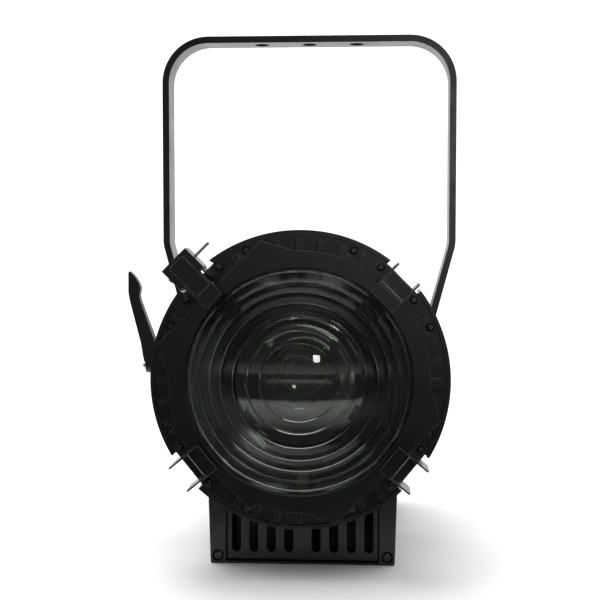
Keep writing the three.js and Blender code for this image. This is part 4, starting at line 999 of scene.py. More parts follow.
class SPOTLIGHT_OT_housing(bpy.types.Operator):
    """Builds the main housing, its middle plate and the screws along its edges"""

    bl_idname = "spotlight.housing"
    bl_label = "Main housing"

    def execute(self, context):
        front, back = SHELL_LOW.y, SHELL_HIGH.y
        outline = rounded_rectangle(SHELL_HALF, SHELL_HALF, CORNER, 24)
        hollow = rounded_rectangle(SHELL_HALF - 3, SHELL_HALF - 3, CORNER - 3, 24)
        drop = TILT_AXIS - LENS_AXIS
        reach = SHELL_HIGH.x
        inside = SHELL_HALF - 3
        bosses = [rod((s * (inside + 1), 0, drop), (s * reach, 0, drop), 21, steps=64) for s in (-1, 1)]
        # shallow cooling grooves run along the top and both shoulders
        grooves = []
        for x in (-44, -33, -22, -11, 0, 11, 22, 33, 44):
            grooves.append(extruded(rounded_rectangle(2.0, (back - front) / 2 - 26, 1.9, 4),
                                    SHELL_HALF - 1.2, SHELL_HALF + 2, "Z"))
            moved(grooves[-1], (x, (front + back) / 2, 0))
        shell = combined(extruded(outline, front, back), [
            ("DIFFERENCE", extruded(hollow, front - 2, back + 2)),
            ("UNION", merged(*bosses)),
            ("DIFFERENCE", rod((-reach - 2, 0, drop), (reach + 2, 0, drop), 5.3, steps=32)),
            ("DIFFERENCE", merged(*grooves)),
        ])
        piece("main_housing", shell, FINISH["black_paint"], replaces=["body_shell"],
              edge=sizes().edge_round * 1.4, segments=3, centre=AXIS, angle=30)
        self.middle_plate()
        self.edge_screws(front, back)
        return {"FINISHED"}

    def middle_plate(self):
        carry_over("middle_plate", FINISH["inner_black"], 0.3)

    def edge_screws(self, front, back):
        """Countersunk screws that hold the shell to the ring plate and the rear cover."""
        number = 0
        for y in (front + 9, back - 9):
            for angle in (0, 90, 180):
                for offset in (-38, 38):
                    number += 1
                    screw = socket_screw(3.0, 1.4)
                    screw.transform(Matrix.Rotation(math.radians(90), 4, "Z"))
                    moved(screw, (SHELL_HALF - 0.2, y, offset))
                    piece(f"shell_screw_{number}", round_lens(screw, angle), FINISH["black_screw"],
                          edge=0.15, centre=AXIS)


class SPOTLIGHT_OT_rear(bpy.types.Operator):
    """Builds the rear cover, its display, buttons, zoom knob and safety eye"""

    bl_idname = "spotlight.rear"
    bl_label = "Rear cover and controls"

    def execute(self, context):
        self.cover()
        self.display()
        self.buttons()
        self.knob()
        self.eye()
        return {"FINISHED"}

    def cover(self):
        front, back = REAR_LOW.y, REAR_HIGH.y
        outline = rounded_rectangle(SHELL_HALF, SHELL_HALF, CORNER, 24)
        hollow = rounded_rectangle(SHELL_HALF - 3, SHELL_HALF - 3, CORNER - 3, 24)
        slots = []
        for i in range(9):
            z = 22 + (i - 4) * 11
            slots.append(moved(extruded(rounded_rectangle(62, 2.5, 2.4, 5), back - 6, back + 2), (0, 0, z)))
        knob = middle("zoom_knob")
        low, high = box_mm("display_module")
        openings = [rod((0, back - 6, knob.z - LENS_AXIS), (0, back + 2, knob.z - LENS_AXIS), 4.5, steps=32)]
        window = block(low.x - 0.3, high.x + 0.3, back - 6, back + 2,
                       low.z - 0.3 - LENS_AXIS, high.z + 0.3 - LENS_AXIS)
        openings.append(window)
        for i in range(1, 5):
            spot = middle(f"menu_button_{i}")
            height = spot.z - LENS_AXIS
            openings.append(rod((spot.x, back - 6, height), (spot.x, back + 2, height), 5.0, steps=32))
        # a shallow step frames the controls
        tray = moved(extruded(rounded_rectangle(86, 15.5, 4, 6), back - 0.7, back + 2),
                     (0, 0, middle("menu_button_1").z - LENS_AXIS))
        cover = combined(extruded(outline, front, back), [
            ("DIFFERENCE", extruded(hollow, front - 2, back - 3)),
            ("DIFFERENCE", merged(*slots)),
            ("DIFFERENCE", tray),
            ("DIFFERENCE", merged(*openings)),
        ])
        piece("rear_cover_casting", cover, FINISH["black_paint"], replaces=["rear_cover"],
              edge=sizes().edge_round * 1.6, segments=3, centre=AXIS, angle=30)
        for i, (x, z) in enumerate([(-74, 74), (74, 74), (-88, -50), (88, -50)], 1):
            screw = cross_screw(3.4, 1.6)
            screw.transform(Matrix.Rotation(math.radians(180), 4, "Z"))
            piece(f"rear_screw_{i}", moved(screw, (x, back + 0.02, z)), FINISH["black_screw"],
                  edge=0.12, centre=AXIS)

    def display(self):
        low, high = box_mm("display_module")
        spot = middle("display_module")
        half_width, half_height = (high.x - low.x) / 2, (high.z - low.z) / 2
        body = extruded(rounded_rectangle(half_width, half_height, 1.6, 5), low.y, high.y - 0.5)
        lens = extruded(rounded_rectangle(half_width - 2.2, half_height - 2.2, 1.2, 5),
                        high.y - 1.1, high.y + 0.6)
        shaped = combined(body, [("DIFFERENCE", lens)])
        piece("display_bezel", shaped, FINISH["black_plastic"],
              replaces=["display_module"], edge=0.3, centre=(spot.x, 0, spot.z))
        glass = extruded(rounded_rectangle(half_width - 2.4, half_height - 2.4, 1.1, 5),
                         high.y - 1.0, high.y - 0.6)
        piece("display_window", glass, FINISH["display_glass"],
              edge=0.12, centre=(spot.x, 0, spot.z))

    def buttons(self):
        for i in range(1, 5):
            low, high = box_mm(f"menu_button_{i}")
            spot = middle(f"menu_button_{i}")
            cap = turned([(0, low.y), (4.4, low.y), (4.4, high.y - 1.0), (4.1, high.y - 0.35), (3.4, high.y),
                          (2.2, high.y - 0.15), (0, high.y - 0.35)], 36)
            piece(f"menu_button_cap_{i}", cap, FINISH["rubber"], body=f"button_{i}",
                  replaces=[f"menu_button_{i}"], centre=(spot.x, 0, spot.z))

    def knob(self):
        low, high = box_mm("zoom_knob")
        spot = middle("zoom_knob")
        count = sizes().knurl_count
        outline = []
        for i in range(count * 6):
            a = 2 * math.pi * i / (count * 6)
            r = 15.45 + 0.5 * math.cos(a * count)
            outline.append((r * math.cos(a), r * math.sin(a)))
        grip = extruded(outline, low.y + 2.5, high.y - 1.6)
        core = turned([(0, low.y), (15.0, low.y), (15.8, low.y + 0.8), (15.8, low.y + 2.6),
                       (14.4, low.y + 2.8), (14.4, high.y - 1.2), (13.6, high.y), (0, high.y)], 72)
        dish = turned([(0, high.y - 1.2), (10.5, high.y - 1.2), (11.5, high.y + 1), (0, high.y + 1)], 72)
        mark = block(-0.6, 0.6, high.y - 1.6, high.y + 1, 8.0, 15.9)
        shaped = combined(core, [
            ("UNION", grip),
            ("DIFFERENCE", dish),
            ("DIFFERENCE", mark),
            ("DIFFERENCE", rod((0, low.y - 2, 0), (0, low.y + 9.3, 0), 4.3, steps=32)),
        ])
        piece("zoom_knob_grip", shaped, FINISH["black_plastic"], body="knob",
              replaces=["zoom_knob"], edge=0.25, centre=(spot.x, 0, spot.z))

    def eye(self):
        low, high = box_mm("safety_eye")
        eye = bmesh.new()
        major, minor, steps, sides = 12.0, 2.9, 64, 20
        rows = []
        for i in range(steps):
            a = 2 * math.pi * i / steps
            row = []
            for j in range(sides):
                b = 2 * math.pi * j / sides
                r = major + minor * math.cos(b)
                row.append(eye.verts.new((minor * math.sin(b), r * math.cos(a), r * math.sin(a))))
            rows.append(row)
        for i in range(steps):
            for j in range(sides):
                k, m = (i + 1) % steps, (j + 1) % sides
                eye.faces.new((rows[i][j], rows[k][j], rows[k][m], rows[i][m]))
        bmesh.ops.recalc_face_normals(eye, faces=eye.faces[:])
        moved(eye, (0, high.y - major - minor, LENS_AXIS + SHELL_HALF - 12))
        foot = extruded(rounded_rectangle(9, 9.4, 2.5, 5), low.y + 0.1, low.y + 2.9)
        moved(foot, (0, 0, LENS_AXIS + SHELL_HALF - 13.5))
        shaped = combined(eye, [("UNION", foot)])
        piece("safety_eye_ring", shaped, FINISH["bright_steel"],
              replaces=["safety_eye"], edge=0.3)


# ---------------------------------------------------------------- base
class SPOTLIGHT_OT_base(bpy.types.Operator):
    """Builds the power base, its slotted front, lid, rear panel and sockets"""

    bl_idname = "spotlight.base"
    bl_label = "Power base"

    def execute(self, context):
        self.box()
        self.grille()
        carry_over("base_lid", FINISH["black_paint"], 0.3)
        carry_over("power_supply", FINISH["dark_paint"], 0.8)
        carry_over("driver_board", FINISH["circuit_board"], 0.1)
        self.screws()
        self.rear_panel()
        self.sockets()
        return {"FINISHED"}

    def box(self):
        """The tapered case: side walls, floor, and a post at each corner."""
        top, front, back = BASE_HIGH.z, BASE_LOW.y, BASE_HIGH.y
        foot, head = BASE_HIGH.x - 2.2, BASE_HIGH.x
        inner = foot - 14.5
        wall = 2.5
        side = lambda z: foot + (head - foot) * z / top
        outline = [(-side(0), 0), (side(0), 0), (side(top), top), (-side(top), top)]
        inset = [(-side(wall) + wall, wall), (side(wall) - wall, wall),
                 (side(top + 2) - wall, top + 2), (-side(top + 2) + wall, top + 2)]
        recesses, holes = [], []
        for s in (-1, 1):
            x = s * (foot - 7)
            recesses.append(rod((x, front - 2, 7.3), (x, front + 2.4, 7.3), 5.0, steps=40))
            holes.append(rod((x, front, 7.3), (x, front + 9, 7.3), 2.3, steps=20))
        case = combined(extruded(outline, front, back), [
            ("DIFFERENCE", block(-inner, inner, front - 2, back + 2, wall, top + 2)),
            ("DIFFERENCE", extruded(inset, front + 12, back - 12)),
            ("DIFFERENCE", merged(*recesses)),
            ("DIFFERENCE", merged(*holes)),
        ])
        piece("power_base_case", case, FINISH["black_paint"], replaces=["base_box"],
              edge=sizes().edge_round * 1.3, segments=3)

    def grille(self):
        low, high = box_mm("base_grille")
        slots = []
        for i in range(4):
            for s in (-1, 1):
                bottom, top = 10.8, high.z - 5
                slot = extruded(rounded_rectangle(3.9, (top - bottom) / 2, 3.8, 8), low.y - 2, high.y + 2)
                slots.append(moved(slot, (s * (12.6 + i * 16.1), 0, (top + bottom) / 2)))
        sheet = block(low.x, high.x, low.y, high.y, low.z, high.z)
        shaped = combined(sheet, [("DIFFERENCE", merged(*slots))])
        piece("slotted_front", shaped, FINISH["black_paint"], replaces=["base_grille"],
              edge=sizes().edge_round * 1.2, segments=3)

    def screws(self):
        for node in ("base_screw_left", "base_screw_right"):
            low, _ = box_mm(node)
            spot = middle(node)
            screw = cross_screw(4.4, 1.9, 6.0)
            moved(screw, (spot.x, low.y + 2.0, spot.z))
            piece(node + "_head", screw, FINISH["black_screw"], replaces=[node],
                  edge=0.15)

    def rear_panel(self):
        low, high = box_mm("base_rear_panel")
        holes = []
        for node in SOCKETS:
            spot = middle(node)
            holes.append(rod((spot.x, low.y - 2, spot.z), (spot.x, high.y + 2, spot.z), 11.0, steps=48))
        plate = block(low.x, high.x, low.y, high.y, low.z, high.z)
        shaped = combined(plate, [("DIFFERENCE", merged(*holes))])
        piece("base_rear_plate", shaped, FINISH["black_paint"], replaces=["base_rear_panel"],
              edge=0.35)

    def sockets(self):
        """Round locking sockets: square flange, keyed nose and contacts on an insert, in brass darkened as
        painted shade.
        """
        for node in SOCKETS:
            low, high = box_mm(node)
            spot = middle(node)
            flange = extruded(rounded_rectangle(12, 12, 2, 5), high.y - 6.7, high.y - 4.7)
            nose = turned([(0, low.y), (10.5, low.y), (10.5, high.y - 5.5), (12, high.y - 5.2),
                           (12, high.y - 0.8), (11.2, high.y), (0, high.y)], 56)
            well = rod((0, high.y - 15, 0), (0, high.y + 2, 0), 9.0, steps=56)
            keys = [block(-1.6, 1.6, high.y - 15, high.y + 2, 7.0, 10.2),
                    block(-1.1, 1.1, high.y - 15, high.y + 2, -10.0, -7.0)]
            shaped = combined(nose, [
                ("UNION", flange),
                ("DIFFERENCE", well),
                ("DIFFERENCE", keys[0]),
                ("DIFFERENCE", keys[1]),
            ])
            piece(node + "_body", shaped, FINISH["black_plastic"], replaces=[node],
                  edge=0.25, centre=(spot.x, 0, spot.z))
            for i in range(3):
                a = math.radians(90 + 120 * i)
                x, z = 4.2 * math.cos(a), 4.2 * math.sin(a)
                pin = turned([(0, high.y - 15), (1.1, high.y - 15), (1.1, high.y - 6.5),
                              (0.5, high.y - 5.6), (0, high.y - 5.6)], 20)
                piece(f"{node}_contact_{i + 1}", moved(pin, (x, 0, z)), FINISH["brass"],
                      centre=(spot.x, 0, spot.z))


SOCKETS = ("power_inlet", "power_outlet", "data_inlet", "data_outlet")


# ---------------------------------------------------------------- yoke and pivots
class SPOTLIGHT_OT_yoke(bpy.types.Operator):
    """Builds the yoke, bent from one flat bar"""

    bl_idname = "spotlight.yoke"
    bl_label = "Yoke"

    def execute(self, context):
        thick = 6.6
        reach = YOKE_HIGH.x - thick / 2  # middle of the bar's straight arms
        pad = -box_mm("clamp_washer_left")[1].x - 0.3 - thick / 2
        rise = YOKE_HIGH.z - TILT_AXIS - thick / 2
        depth = (YOKE_HIGH.y - YOKE_LOW.y) / 2
        path = [(-pad, -depth), (-pad, 18), (-reach, 124), (-reach, rise),
                (reach, rise), (reach, 124), (pad, 18), (pad, -depth)]
        outline = strip(path, thick, [30, 34, 42.5, 42.5, 34, 30], 14)
        wide = YOKE_HIGH.x + 2
        keep = combined(block(-wide, wide, -depth - 1, depth + 1, 0, rise + 10), [
            ("UNION", rod((-wide, 0, 0), (wide, 0, 0), depth - 0.01, steps=96)),
        ])
        holes = [rod((x, 0, rise - 10), (x, 0, rise + 10), 7.2, steps=48) for x in (-47.5, 0, 47.5)]
        bar = combined(extruded(outline, -depth, depth), [
            ("INTERSECT", keep),
            ("DIFFERENCE", merged(*holes)),
            ("DIFFERENCE", rod((-wide, 0, 0), (wide, 0, 0), 5.6, steps=40)),
        ])
        piece("yoke_bar", bar, FINISH["black_paint"], body="yoke", replaces=["yoke"],
              edge=sizes().edge_round * 1.6, segments=3, centre=PIVOT, angle=30)
        return {"FINISHED"}


class SPOTLIGHT_OT_pivots(bpy.types.Operator):
    """Builds the washers, studs and nut on the tilt axis"""

    bl_idname = "spotlight.pivots"
    bl_label = "Tilt pivots"

    def execute(self, context):
        for side in ("left", "right"):
            self.washer(f"friction_washer_{side}", 17.0, FINISH["rubber"], "rubber")
            self.washer(f"clamp_washer_{side}", 17.0, FINISH["bright_steel"], "bright_steel")
            self.stud(f"pivot_stud_{side}", -1 if side == "left" else 1)
        self.nut()
        return {"FINISHED"}

    def washer(self, node, radius, finish, slot):
        low, high = box_mm(node)
        ring = turned([(5.7, low.x), (radius, low.x), (radius, high.x), (5.7, high.x)], 72)
        ring.transform(Matrix.Rotation(math.radians(-90), 4, "Z"))
        piece(node + "_ring", ring, finish, replaces=[node], edge=0.3, centre=PIVOT)

    def stud(self, node, side):
        low, high = box_mm(node)
        inner = min(abs(low.x), abs(high.x))
        outer = max(abs(low.x), abs(high.x))
        profile = [(0, inner + 5), (5.0, inner + 5)]
        x = inner + 12.0
        while x < outer - 2.0:
            profile += [(5.0, x), (4.55, x + 0.5), (5.0, x + 1.0)]
            x += 1.0
        profile += [(5.0, outer - 0.8), (4.2, outer), (0, outer)]
        shank = turned(profile, 28)
        head = rod((0, inner, 0), (0, inner + 5.1, 0), 9.0, steps=6)
        shaped = combined(shank, [("UNION", head)])
        shaped.transform(Matrix.Rotation(math.radians(-90 * side), 4, "Z"))
        piece(node + "_bolt", shaped, FINISH["bright_steel"], replaces=[node],
              edge=0.1, centre=PIVOT)

    def nut(self):
        low, high = box_mm("pivot_nut_right")
        flat = 17.0 / 2 / math.cos(math.pi / 6)
        hexagon = rod((low.x, 0, 0), (high.x, 0, 0), flat, steps=6)
        dome = turned([(0, low.x), (flat - 0.9, low.x), (flat + 0.1, low.x + 1.0), (flat + 0.1, high.x - 1.2),
                       (flat - 1.6, high.x), (0, high.x)], 64)
        dome.transform(Matrix.Rotation(math.radians(-90), 4, "Z"))
        shaped = combined(hexagon, [
            ("INTERSECT", dome),
            ("DIFFERENCE", rod((low.x - 1, 0, 0), (high.x + 1, 0, 0), 5.1, steps=40)),
        ])
        piece("lock_nut_right", shaped, FINISH["black_screw"], replaces=["pivot_nut_right"],
              edge=0.2, centre=PIVOT)


# ---------------------------------------------------------------- clamp lever
def smooth_outline(points, steps=5):
    """A closed outline through the points, rounded between them."""
    count = len(points)
    result = []
    for i in range(count):
        p0, p1, p2, p3 = (Vector(points[(i + k) % count]) for k in (-1, 0, 1, 2))
        for k in range(steps):
            t = k / steps
            result.append(tuple(0.5 * (
                2 * p1
                + (p2 - p0) * t
                + (2 * p0 - 5 * p1 + 4 * p2 - p3) * t**2
                + (3 * p1 - p0 - 3 * p2 + p3) * t**3
            )))
    return result


# the lever's sides, from its outer foot over the tip and down its inner side: (inset, share of the rise)
LEVER_OUTLINE = (
    (1.7, 0.0), (1.7, 0.25), (1.8, 0.44), (2.0, 0.62), (2.2, 0.71), (3.0, 0.78), (4.8, 0.85), (7.0, 0.935),
    (8.1, 0.975), (9.3, 0.995), (11.0, 0.985), (13.6, 0.945), (16.0, 0.88), (16.4, 0.825), (14.9, 0.78),
    (13.4, 0.745), (12.9, 0.69), (13.3, 0.625), (14.3, 0.5), (15.5, 0.37), (17.3, 0.23), (20.3, 0.1),
    (25.0, 0.0),
)


class SPOTLIGHT_OT_clamp(bpy.types.Operator):
    """Builds the tilt clamp's lever with its insert, screw and spring"""

    bl_idname = "spotlight.clamp"
    bl_label = "Tilt clamp lever"

    def execute(self, context):
        self.lever()
        self.screw()
        carry_over("clamp_insert", FINISH["bright_steel"], 0.3)
        self.spring()
        return {"FINISHED"}

    def lever(self):
        high = box_mm("clamp_lever")[1]
        inner = high.x
        outer = inner - 47.0
        rise = high.z - TILT_AXIS
        lean = 0.27
        edge = lambda inset, height: (outer + inset - lean * height, height)
        points = [edge(inset, rise * share) for inset, share in LEVER_OUTLINE]
        arm = extruded(smooth_outline(points, 4), -7.0, 7.0)
        for vert in arm.verts:
            # the arm grows thinner from the hub to the tip
            share = max(0.0, min(1.0, (vert.co.z - 12) / (rise - 12)))
            vert.co.y *= 1.0 - 0.36 * share
        hub = turned([(0, outer), (7.0, outer), (7.4, outer + 0.4), (8.9, outer + 13.5), (9.6, outer + 16),
                      (10.4, inner - 1.2), (10.0, inner), (0, inner)], 64)
        hub.transform(Matrix.Rotation(math.radians(-90), 4, "Z"))
        # Rotation about Z sends the turned axis from +Y to +X
        shaped = combined(hub, [
            ("UNION", arm),
            ("DIFFERENCE", rod((inner + 2, 0, 0), (inner - 30.3, 0, 0), 6.3, steps=40)),
            ("DIFFERENCE", rod((inner - 28, 0, 0), (outer + 4, 0, 0), 3.3, steps=32)),
            ("DIFFERENCE", rod((outer - 30, 0, 0), (outer + 10, 0, 0), 6.4, steps=40)),
        ])
        piece("clamp_lever_moulding", shaped, FINISH["black_plastic"], body="lever", replaces=["clamp_lever"],
              edge=1.5, segments=4, centre=PIVOT, angle=40)

    def screw(self):
        low, high = box_mm("lever_screw")
        head = turned([(0, low.x), (2.6, low.x), (3.5, low.x + 0.5), (4.2, low.x + 2.0), (4.2, low.x + 9),
                       (2.6, low.x + 9), (2.6, high.x), (0, high.x)], 40)
        head.transform(Matrix.Rotation(math.radians(-90), 4, "Z"))
        shaped = combined(head, [("DIFFERENCE", rod((low.x - 1, 0, 0), (low.x + 2.4, 0, 0), 2.3, steps=6))])
        piece("lever_screw_bright", shaped, FINISH["bright_steel"], body="clamp", replaces=["lever_screw"],
              edge=0.15, centre=PIVOT)

    def spring(self):
        low, high = box_mm("lever_spring")
        steps, sides, turns, wire = 150, 10, 3.0, 0.45
        radius = 5.3
        coil = bmesh.new()
        rows = []
        for i in range(steps + 1):
            t = i / steps
            a = 2 * math.pi * turns * t
            across = high.x - wire + (low.x - high.x + 2 * wire) * t
            spot = Vector((across, radius * math.cos(a), radius * math.sin(a)))
            out = Vector((0, math.cos(a), math.sin(a)))
            rows.append([coil.verts.new(spot + wire * (math.cos(b) * out + math.sin(b) * Vector((1, 0, 0))))
                         for b in (2 * math.pi * j / sides for j in range(sides))])
        for first, second in zip(rows, rows[1:]):
            for j in range(sides):
                k = (j + 1) % sides
                coil.faces.new((first[j], second[j], second[k], first[k]))
        coil.faces.new(rows[0])
        coil.faces.new(rows[-1][::-1])
        bmesh.ops.recalc_face_normals(coil, faces=coil.faces[:])
        piece("lever_coil_spring", coil, FINISH["bright_steel"], body="lever", replaces=["lever_spring"],
              centre=PIVOT)


# ---------------------------------------------------------------- inside
class SPOTLIGHT_OT_inside(bpy.types.Operator):
    """Builds the light source, its condenser, the zoom carriage and the fan"""

    bl_idname = "spotlight.inside"
    bl_label = "Light source and carriage"

    def execute(self, context):
        self.source()
        self.condenser()
        carry_over("carriage_plate", FINISH["inner_black"], 0.4)
        carry_over("heat_sink", FINISH["aluminium"], 0.3)
        carry_over("fan_frame", FINISH["black_plastic"], 0.4)
        carry_over("fan_rotor", FINISH["black_plastic"], 0.25)
        # the nut's brass is darkened close to black: painted shade for the inside of the housing
        carry_over("zoom_nut", FINISH["brass"], 0.3)
        self.rods()
        return {"FINISHED"}

    def source(self):
        low, high = box_mm("led_module")
        board = block(low.x, high.x, low.y + 0.8, high.y, low.z, high.z)
        piece("led_board_plate", board, FINISH["led_board"], body="carriage", replaces=["led_module"],
              edge=0.3)
        disc = turned([(0, low.y), (12.6, low.y), (13.4, low.y + 0.3), (13.4, low.y + 0.9),
                       (0, low.y + 0.9)], 72)
        piece("led_phosphor_disc", disc, FINISH["phosphor"], body="carriage", centre=AXIS)

    def condenser(self):
        """The black cup in front of the light source, with a flat-faced lens under a notched bezel."""
        front, back = box_mm("condenser_bezel")[0].y, box_mm("condenser_holder")[1].y
        edge, outer = 50.0, 54.0
        seat = front + 9.0
        cup = turned([
            (15.0, back), (20.0, back - 3.0), (36.0, back - 20.0), (46.5, seat),
            (edge + 0.3, seat), (edge + 0.3, front + 2.3), (outer, front + 2.3), (outer, seat + 2.0),
            (48.3, seat + 2.0), (38.0, back - 19.5), (22.0, back - 2.6), (17.0, back),
        ], 128)
        piece("condenser_cup", cup, FINISH["inner_black"], body="carriage", replaces=["condenser_holder"],
              centre=AXIS)
        dome, rise = 45.0, 14.0
        sphere = (dome**2 + rise**2) / (2 * rise)
        flange = seat - 0.3
        curve = [dome * (1 - i / 20) for i in range(21)]
        outline = [(0, front + 2.3), (edge, front + 2.3), (edge, flange)]
        outline += [(r, flange + rise - sphere + math.sqrt(sphere**2 - r**2)) for r in curve]
        piece("condenser_dome", turned(outline, 128), FINISH["condenser_glass"], body="carriage",
              replaces=["condenser_lens"], centre=AXIS, angle=40)
        inner = edge - 4.5
        ring = turned([(inner, front + 0.3), (inner + 0.3, front), (outer - 0.3, front), (outer, front + 0.3),
                       (outer, front + 2.0), (inner, front + 2.0)], 128)
        notch = (outer - 4.4, outer + 4, front - 2, front + 4, -6.8, 6.8)
        notches = [round_lens(block(*notch), angle) for angle in (218, 328)]
        bezel = combined(ring, [("DIFFERENCE", merged(*notches))])
        piece("condenser_bezel_ring", bezel, FINISH["gloss_black"], body="carriage",
              replaces=["condenser_bezel"], edge=0.2, centre=AXIS)
        for i in range(3):
            screw = moved(cross_screw(1.7, 0.7, 2.0, 0.9), (50.5, front + 0.02, 0))
            piece(f"bezel_screw_{i + 1}", round_lens(screw, 90 + 120 * i), FINISH["black_screw"],
                  body="carriage", centre=AXIS)

    def rods(self):
        for node in ("guide_rod_left", "guide_rod_right", "lead_screw"):
            low, high = box_mm(node)
            spot = middle(node)
            profile = [(0, low.y), (3.4, low.y), (4.0, low.y + 0.6)]
            if node == "lead_screw":
                y = low.y + 8
                while y < high.y - 30:
                    profile += [(4.0, y), (3.3, y + 0.9), (3.3, y + 1.6), (4.0, y + 2.5)]
                    y += 3.0
            profile += [(4.0, high.y - 0.6), (3.4, high.y), (0, high.y)]
            body = "knob" if node == "lead_screw" else "housing"
            piece(node + "_bar", turned(profile, 28), FINISH["ground_steel"], body=body, replaces=[node],
                  centre=(spot.x, 0, spot.z))


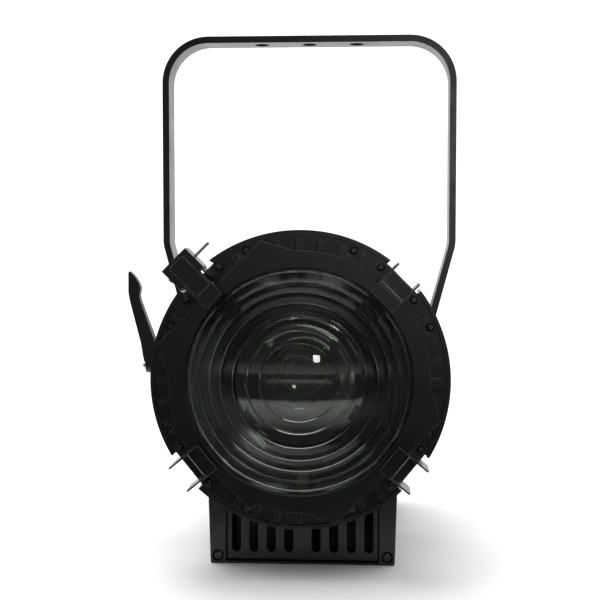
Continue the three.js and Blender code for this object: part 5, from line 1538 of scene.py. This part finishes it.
# ---------------------------------------------------------------- stage
class SPOTLIGHT_OT_stage(bpy.types.Operator):
    """Builds the pale floor, the soft lights and the camera"""

    bl_idname = "spotlight.stage"
    bl_label = "Floor, lights and camera"

    def execute(self, context):
        self.floor()
        self.lights()
        self.camera()
        return {"FINISHED"}

    def floor(self):
        floor = bmesh.new()
        bmesh.ops.create_circle(floor, cap_ends=True, segments=96, radius=0.72)
        bmesh.ops.translate(floor, verts=floor.verts[:], vec=(0.0, 0.45, 0.0))
        data = bpy.data.meshes.new("pale_floor")
        floor.to_mesh(data)
        floor.free()
        made = bpy.data.objects.new("pale_floor", data)
        bpy.context.scene.collection.objects.link(made)
        nodes = Nodes("pale_floor_paper")
        nodes.link(nodes.mixed(nodes.ranged(nodes.noise(2.0), 0, 1), (0.90, 0.90, 0.90), (0.93, 0.93, 0.93)),
                   nodes.shader.inputs["Base Color"])
        nodes.shader.inputs["Roughness"].default_value = 0.9
        nodes.bump(nodes.noise(300.0), 0.1, 0.0002)
        data.materials.append(nodes.material)

    def lights(self):
        world = bpy.context.scene.world or bpy.data.worlds.new("pale_surroundings")
        bpy.context.scene.world = world
        world.use_nodes = True
        tree = world.node_tree
        sky = tree.nodes["Background"]
        sky.inputs["Color"].default_value = (1.0, 1.0, 1.0, 1.0)
        # looked at directly, the backdrop is even and white all round; light and reflections
        # come from a room that is brighter behind and overhead
        direction = tree.nodes.new("ShaderNodeTexCoord")
        towards = tree.nodes.new("ShaderNodeVectorMath")
        towards.operation = "DOT_PRODUCT"
        towards.inputs[1].default_value = (0.0, 0.75, 0.66)
        tree.links.new(direction.outputs["Generated"], towards.inputs[0])
        depth = tree.nodes.new("ShaderNodeMapRange")
        depth.interpolation_type = "SMOOTHSTEP"
        depth.inputs["From Min"].default_value = -0.2
        depth.inputs["From Max"].default_value = 0.4
        depth.inputs["To Min"].default_value = finishes().backdrop * finishes().room
        depth.inputs["To Max"].default_value = finishes().backdrop
        tree.links.new(towards.outputs["Value"], depth.inputs["Value"])
        # a pale band of wall above the horizon in front, which the flat glass faces mirror
        height = tree.nodes.new("ShaderNodeSeparateXYZ")
        tree.links.new(direction.outputs["Generated"], height.inputs["Vector"])
        facing = tree.nodes.new("ShaderNodeMath")
        facing.operation = "LESS_THAN"
        facing.inputs[1].default_value = -0.2
        tree.links.new(height.outputs["Y"], facing.inputs[0])
        band = tree.nodes.new("ShaderNodeValToRGB")
        stops = band.color_ramp.elements
        stops[0].position, stops[0].color = 0.470, (0.0, 0.0, 0.0, 1.0)
        stops[1].position, stops[1].color = 0.476, (1.0, 1.0, 1.0, 1.0)
        for place, value in ((0.54, 0.8), (0.62, 0.0)):
            stops.new(place).color = (value, value, value, 1.0)
        spread = tree.nodes.new("ShaderNodeMapRange")
        spread.inputs["From Min"].default_value = -0.5
        spread.inputs["From Max"].default_value = 0.5
        tree.links.new(height.outputs["Z"], spread.inputs["Value"])
        tree.links.new(spread.outputs["Result"], band.inputs["Fac"])
        wall = tree.nodes.new("ShaderNodeMath")
        wall.operation = "MULTIPLY"
        tree.links.new(band.outputs["Color"], wall.inputs[0])
        tree.links.new(facing.outputs["Value"], wall.inputs[1])
        lit = tree.nodes.new("ShaderNodeMath")
        lit.operation = "MULTIPLY_ADD"
        tree.links.new(wall.outputs["Value"], lit.inputs[0])
        lit.inputs[1].default_value = finishes().wall
        tree.links.new(depth.outputs["Result"], lit.inputs[2])
        seen = tree.nodes.new("ShaderNodeLightPath")
        strength = tree.nodes.new("ShaderNodeMix")
        tree.links.new(seen.outputs["Is Camera Ray"], strength.inputs["Factor"])
        tree.links.new(lit.outputs["Value"], strength.inputs["A"])
        strength.inputs["B"].default_value = finishes().backdrop
        tree.links.new(strength.outputs["Result"], sky.inputs["Strength"])
        bpy.context.scene.view_settings.view_transform = "Standard"
        self.soft_light("key_above", (-0.3, 0.35, 2.1), (0, 0.05, 0.0), 1.3, finishes().key_light)
        self.soft_light("window_right", (0.425, -2.66, 0.63), (0, 0, 0.2), 0.22, finishes().key_light * 0.11)

    def soft_light(self, name, place, target, width, power):
        lamp = bpy.data.lights.new(name, "AREA")
        lamp.shape = "SQUARE"
        lamp.size = width
        lamp.energy = power
        made = bpy.data.objects.new(name, lamp)
        made.location = place
        made.rotation_euler = (Vector(target) - Vector(place)).to_track_quat("-Z", "Y").to_euler()
        bpy.context.scene.collection.objects.link(made)

    def camera(self):
        """A short telephoto a metre in front of the ring, right of it and a little above the lens."""
        view = bpy.data.cameras.new("front_view")
        view.lens = 69.92
        view.sensor_width = 36.0
        view.clip_start = 0.01
        made = bpy.data.objects.new("front_view", view)
        made.location = (0.0588, RIM_FRONT * MM - 1.009, LENS_AXIS * MM + 0.1281)
        forward = Vector((-0.05767, 0.99672, -0.05687))
        made.rotation_euler = forward.to_track_quat("-Z", "Y").to_euler()
        bpy.context.scene.collection.objects.link(made)
        bpy.context.scene.camera = made


# ---------------------------------------------------------------- sidebar and run
OPERATORS = (
    SPOTLIGHT_OT_front_ring,
    SPOTLIGHT_OT_lens_plate,
    SPOTLIGHT_OT_lens,
    SPOTLIGHT_OT_ring_screws,
    SPOTLIGHT_OT_clips,
    SPOTLIGHT_OT_latch,
    SPOTLIGHT_OT_housing,
    SPOTLIGHT_OT_rear,
    SPOTLIGHT_OT_base,
    SPOTLIGHT_OT_yoke,
    SPOTLIGHT_OT_pivots,
    SPOTLIGHT_OT_clamp,
    SPOTLIGHT_OT_inside,
    SPOTLIGHT_OT_stage,
)


class SPOTLIGHT_PT_pieces(bpy.types.Panel):
    """Lists the settings and the pieces of the spotlight"""

    bl_idname = "SPOTLIGHT_PT_pieces"
    bl_label = "Fresnel spotlight"
    bl_space_type = "VIEW_3D"
    bl_region_type = "UI"
    bl_category = "Spotlight"

    def draw(self, context):
        layout = self.layout
        for group in (context.scene.spotlight_sizes, context.scene.spotlight_finishes):
            column = layout.column()
            for name in group.__annotations__:
                column.prop(group, name)
        for operator in OPERATORS:
            layout.operator(operator.bl_idname)


CLASSES = (SpotlightSizes, SpotlightFinishes, *OPERATORS, SPOTLIGHT_PT_pieces)


def register():
    for item in CLASSES:
        bpy.utils.register_class(item)
    bpy.types.Scene.spotlight_sizes = PointerProperty(type=SpotlightSizes)
    bpy.types.Scene.spotlight_finishes = PointerProperty(type=SpotlightFinishes)


def unregister():
    del bpy.types.Scene.spotlight_finishes
    del bpy.types.Scene.spotlight_sizes
    for item in reversed(CLASSES):
        bpy.utils.unregister_class(item)


def main():
    register()
    make_finishes()
    for operator in OPERATORS:
        family, name = operator.bl_idname.split(".")
        getattr(getattr(bpy.ops, family), name)()


if __name__ == "__main__":
    main()
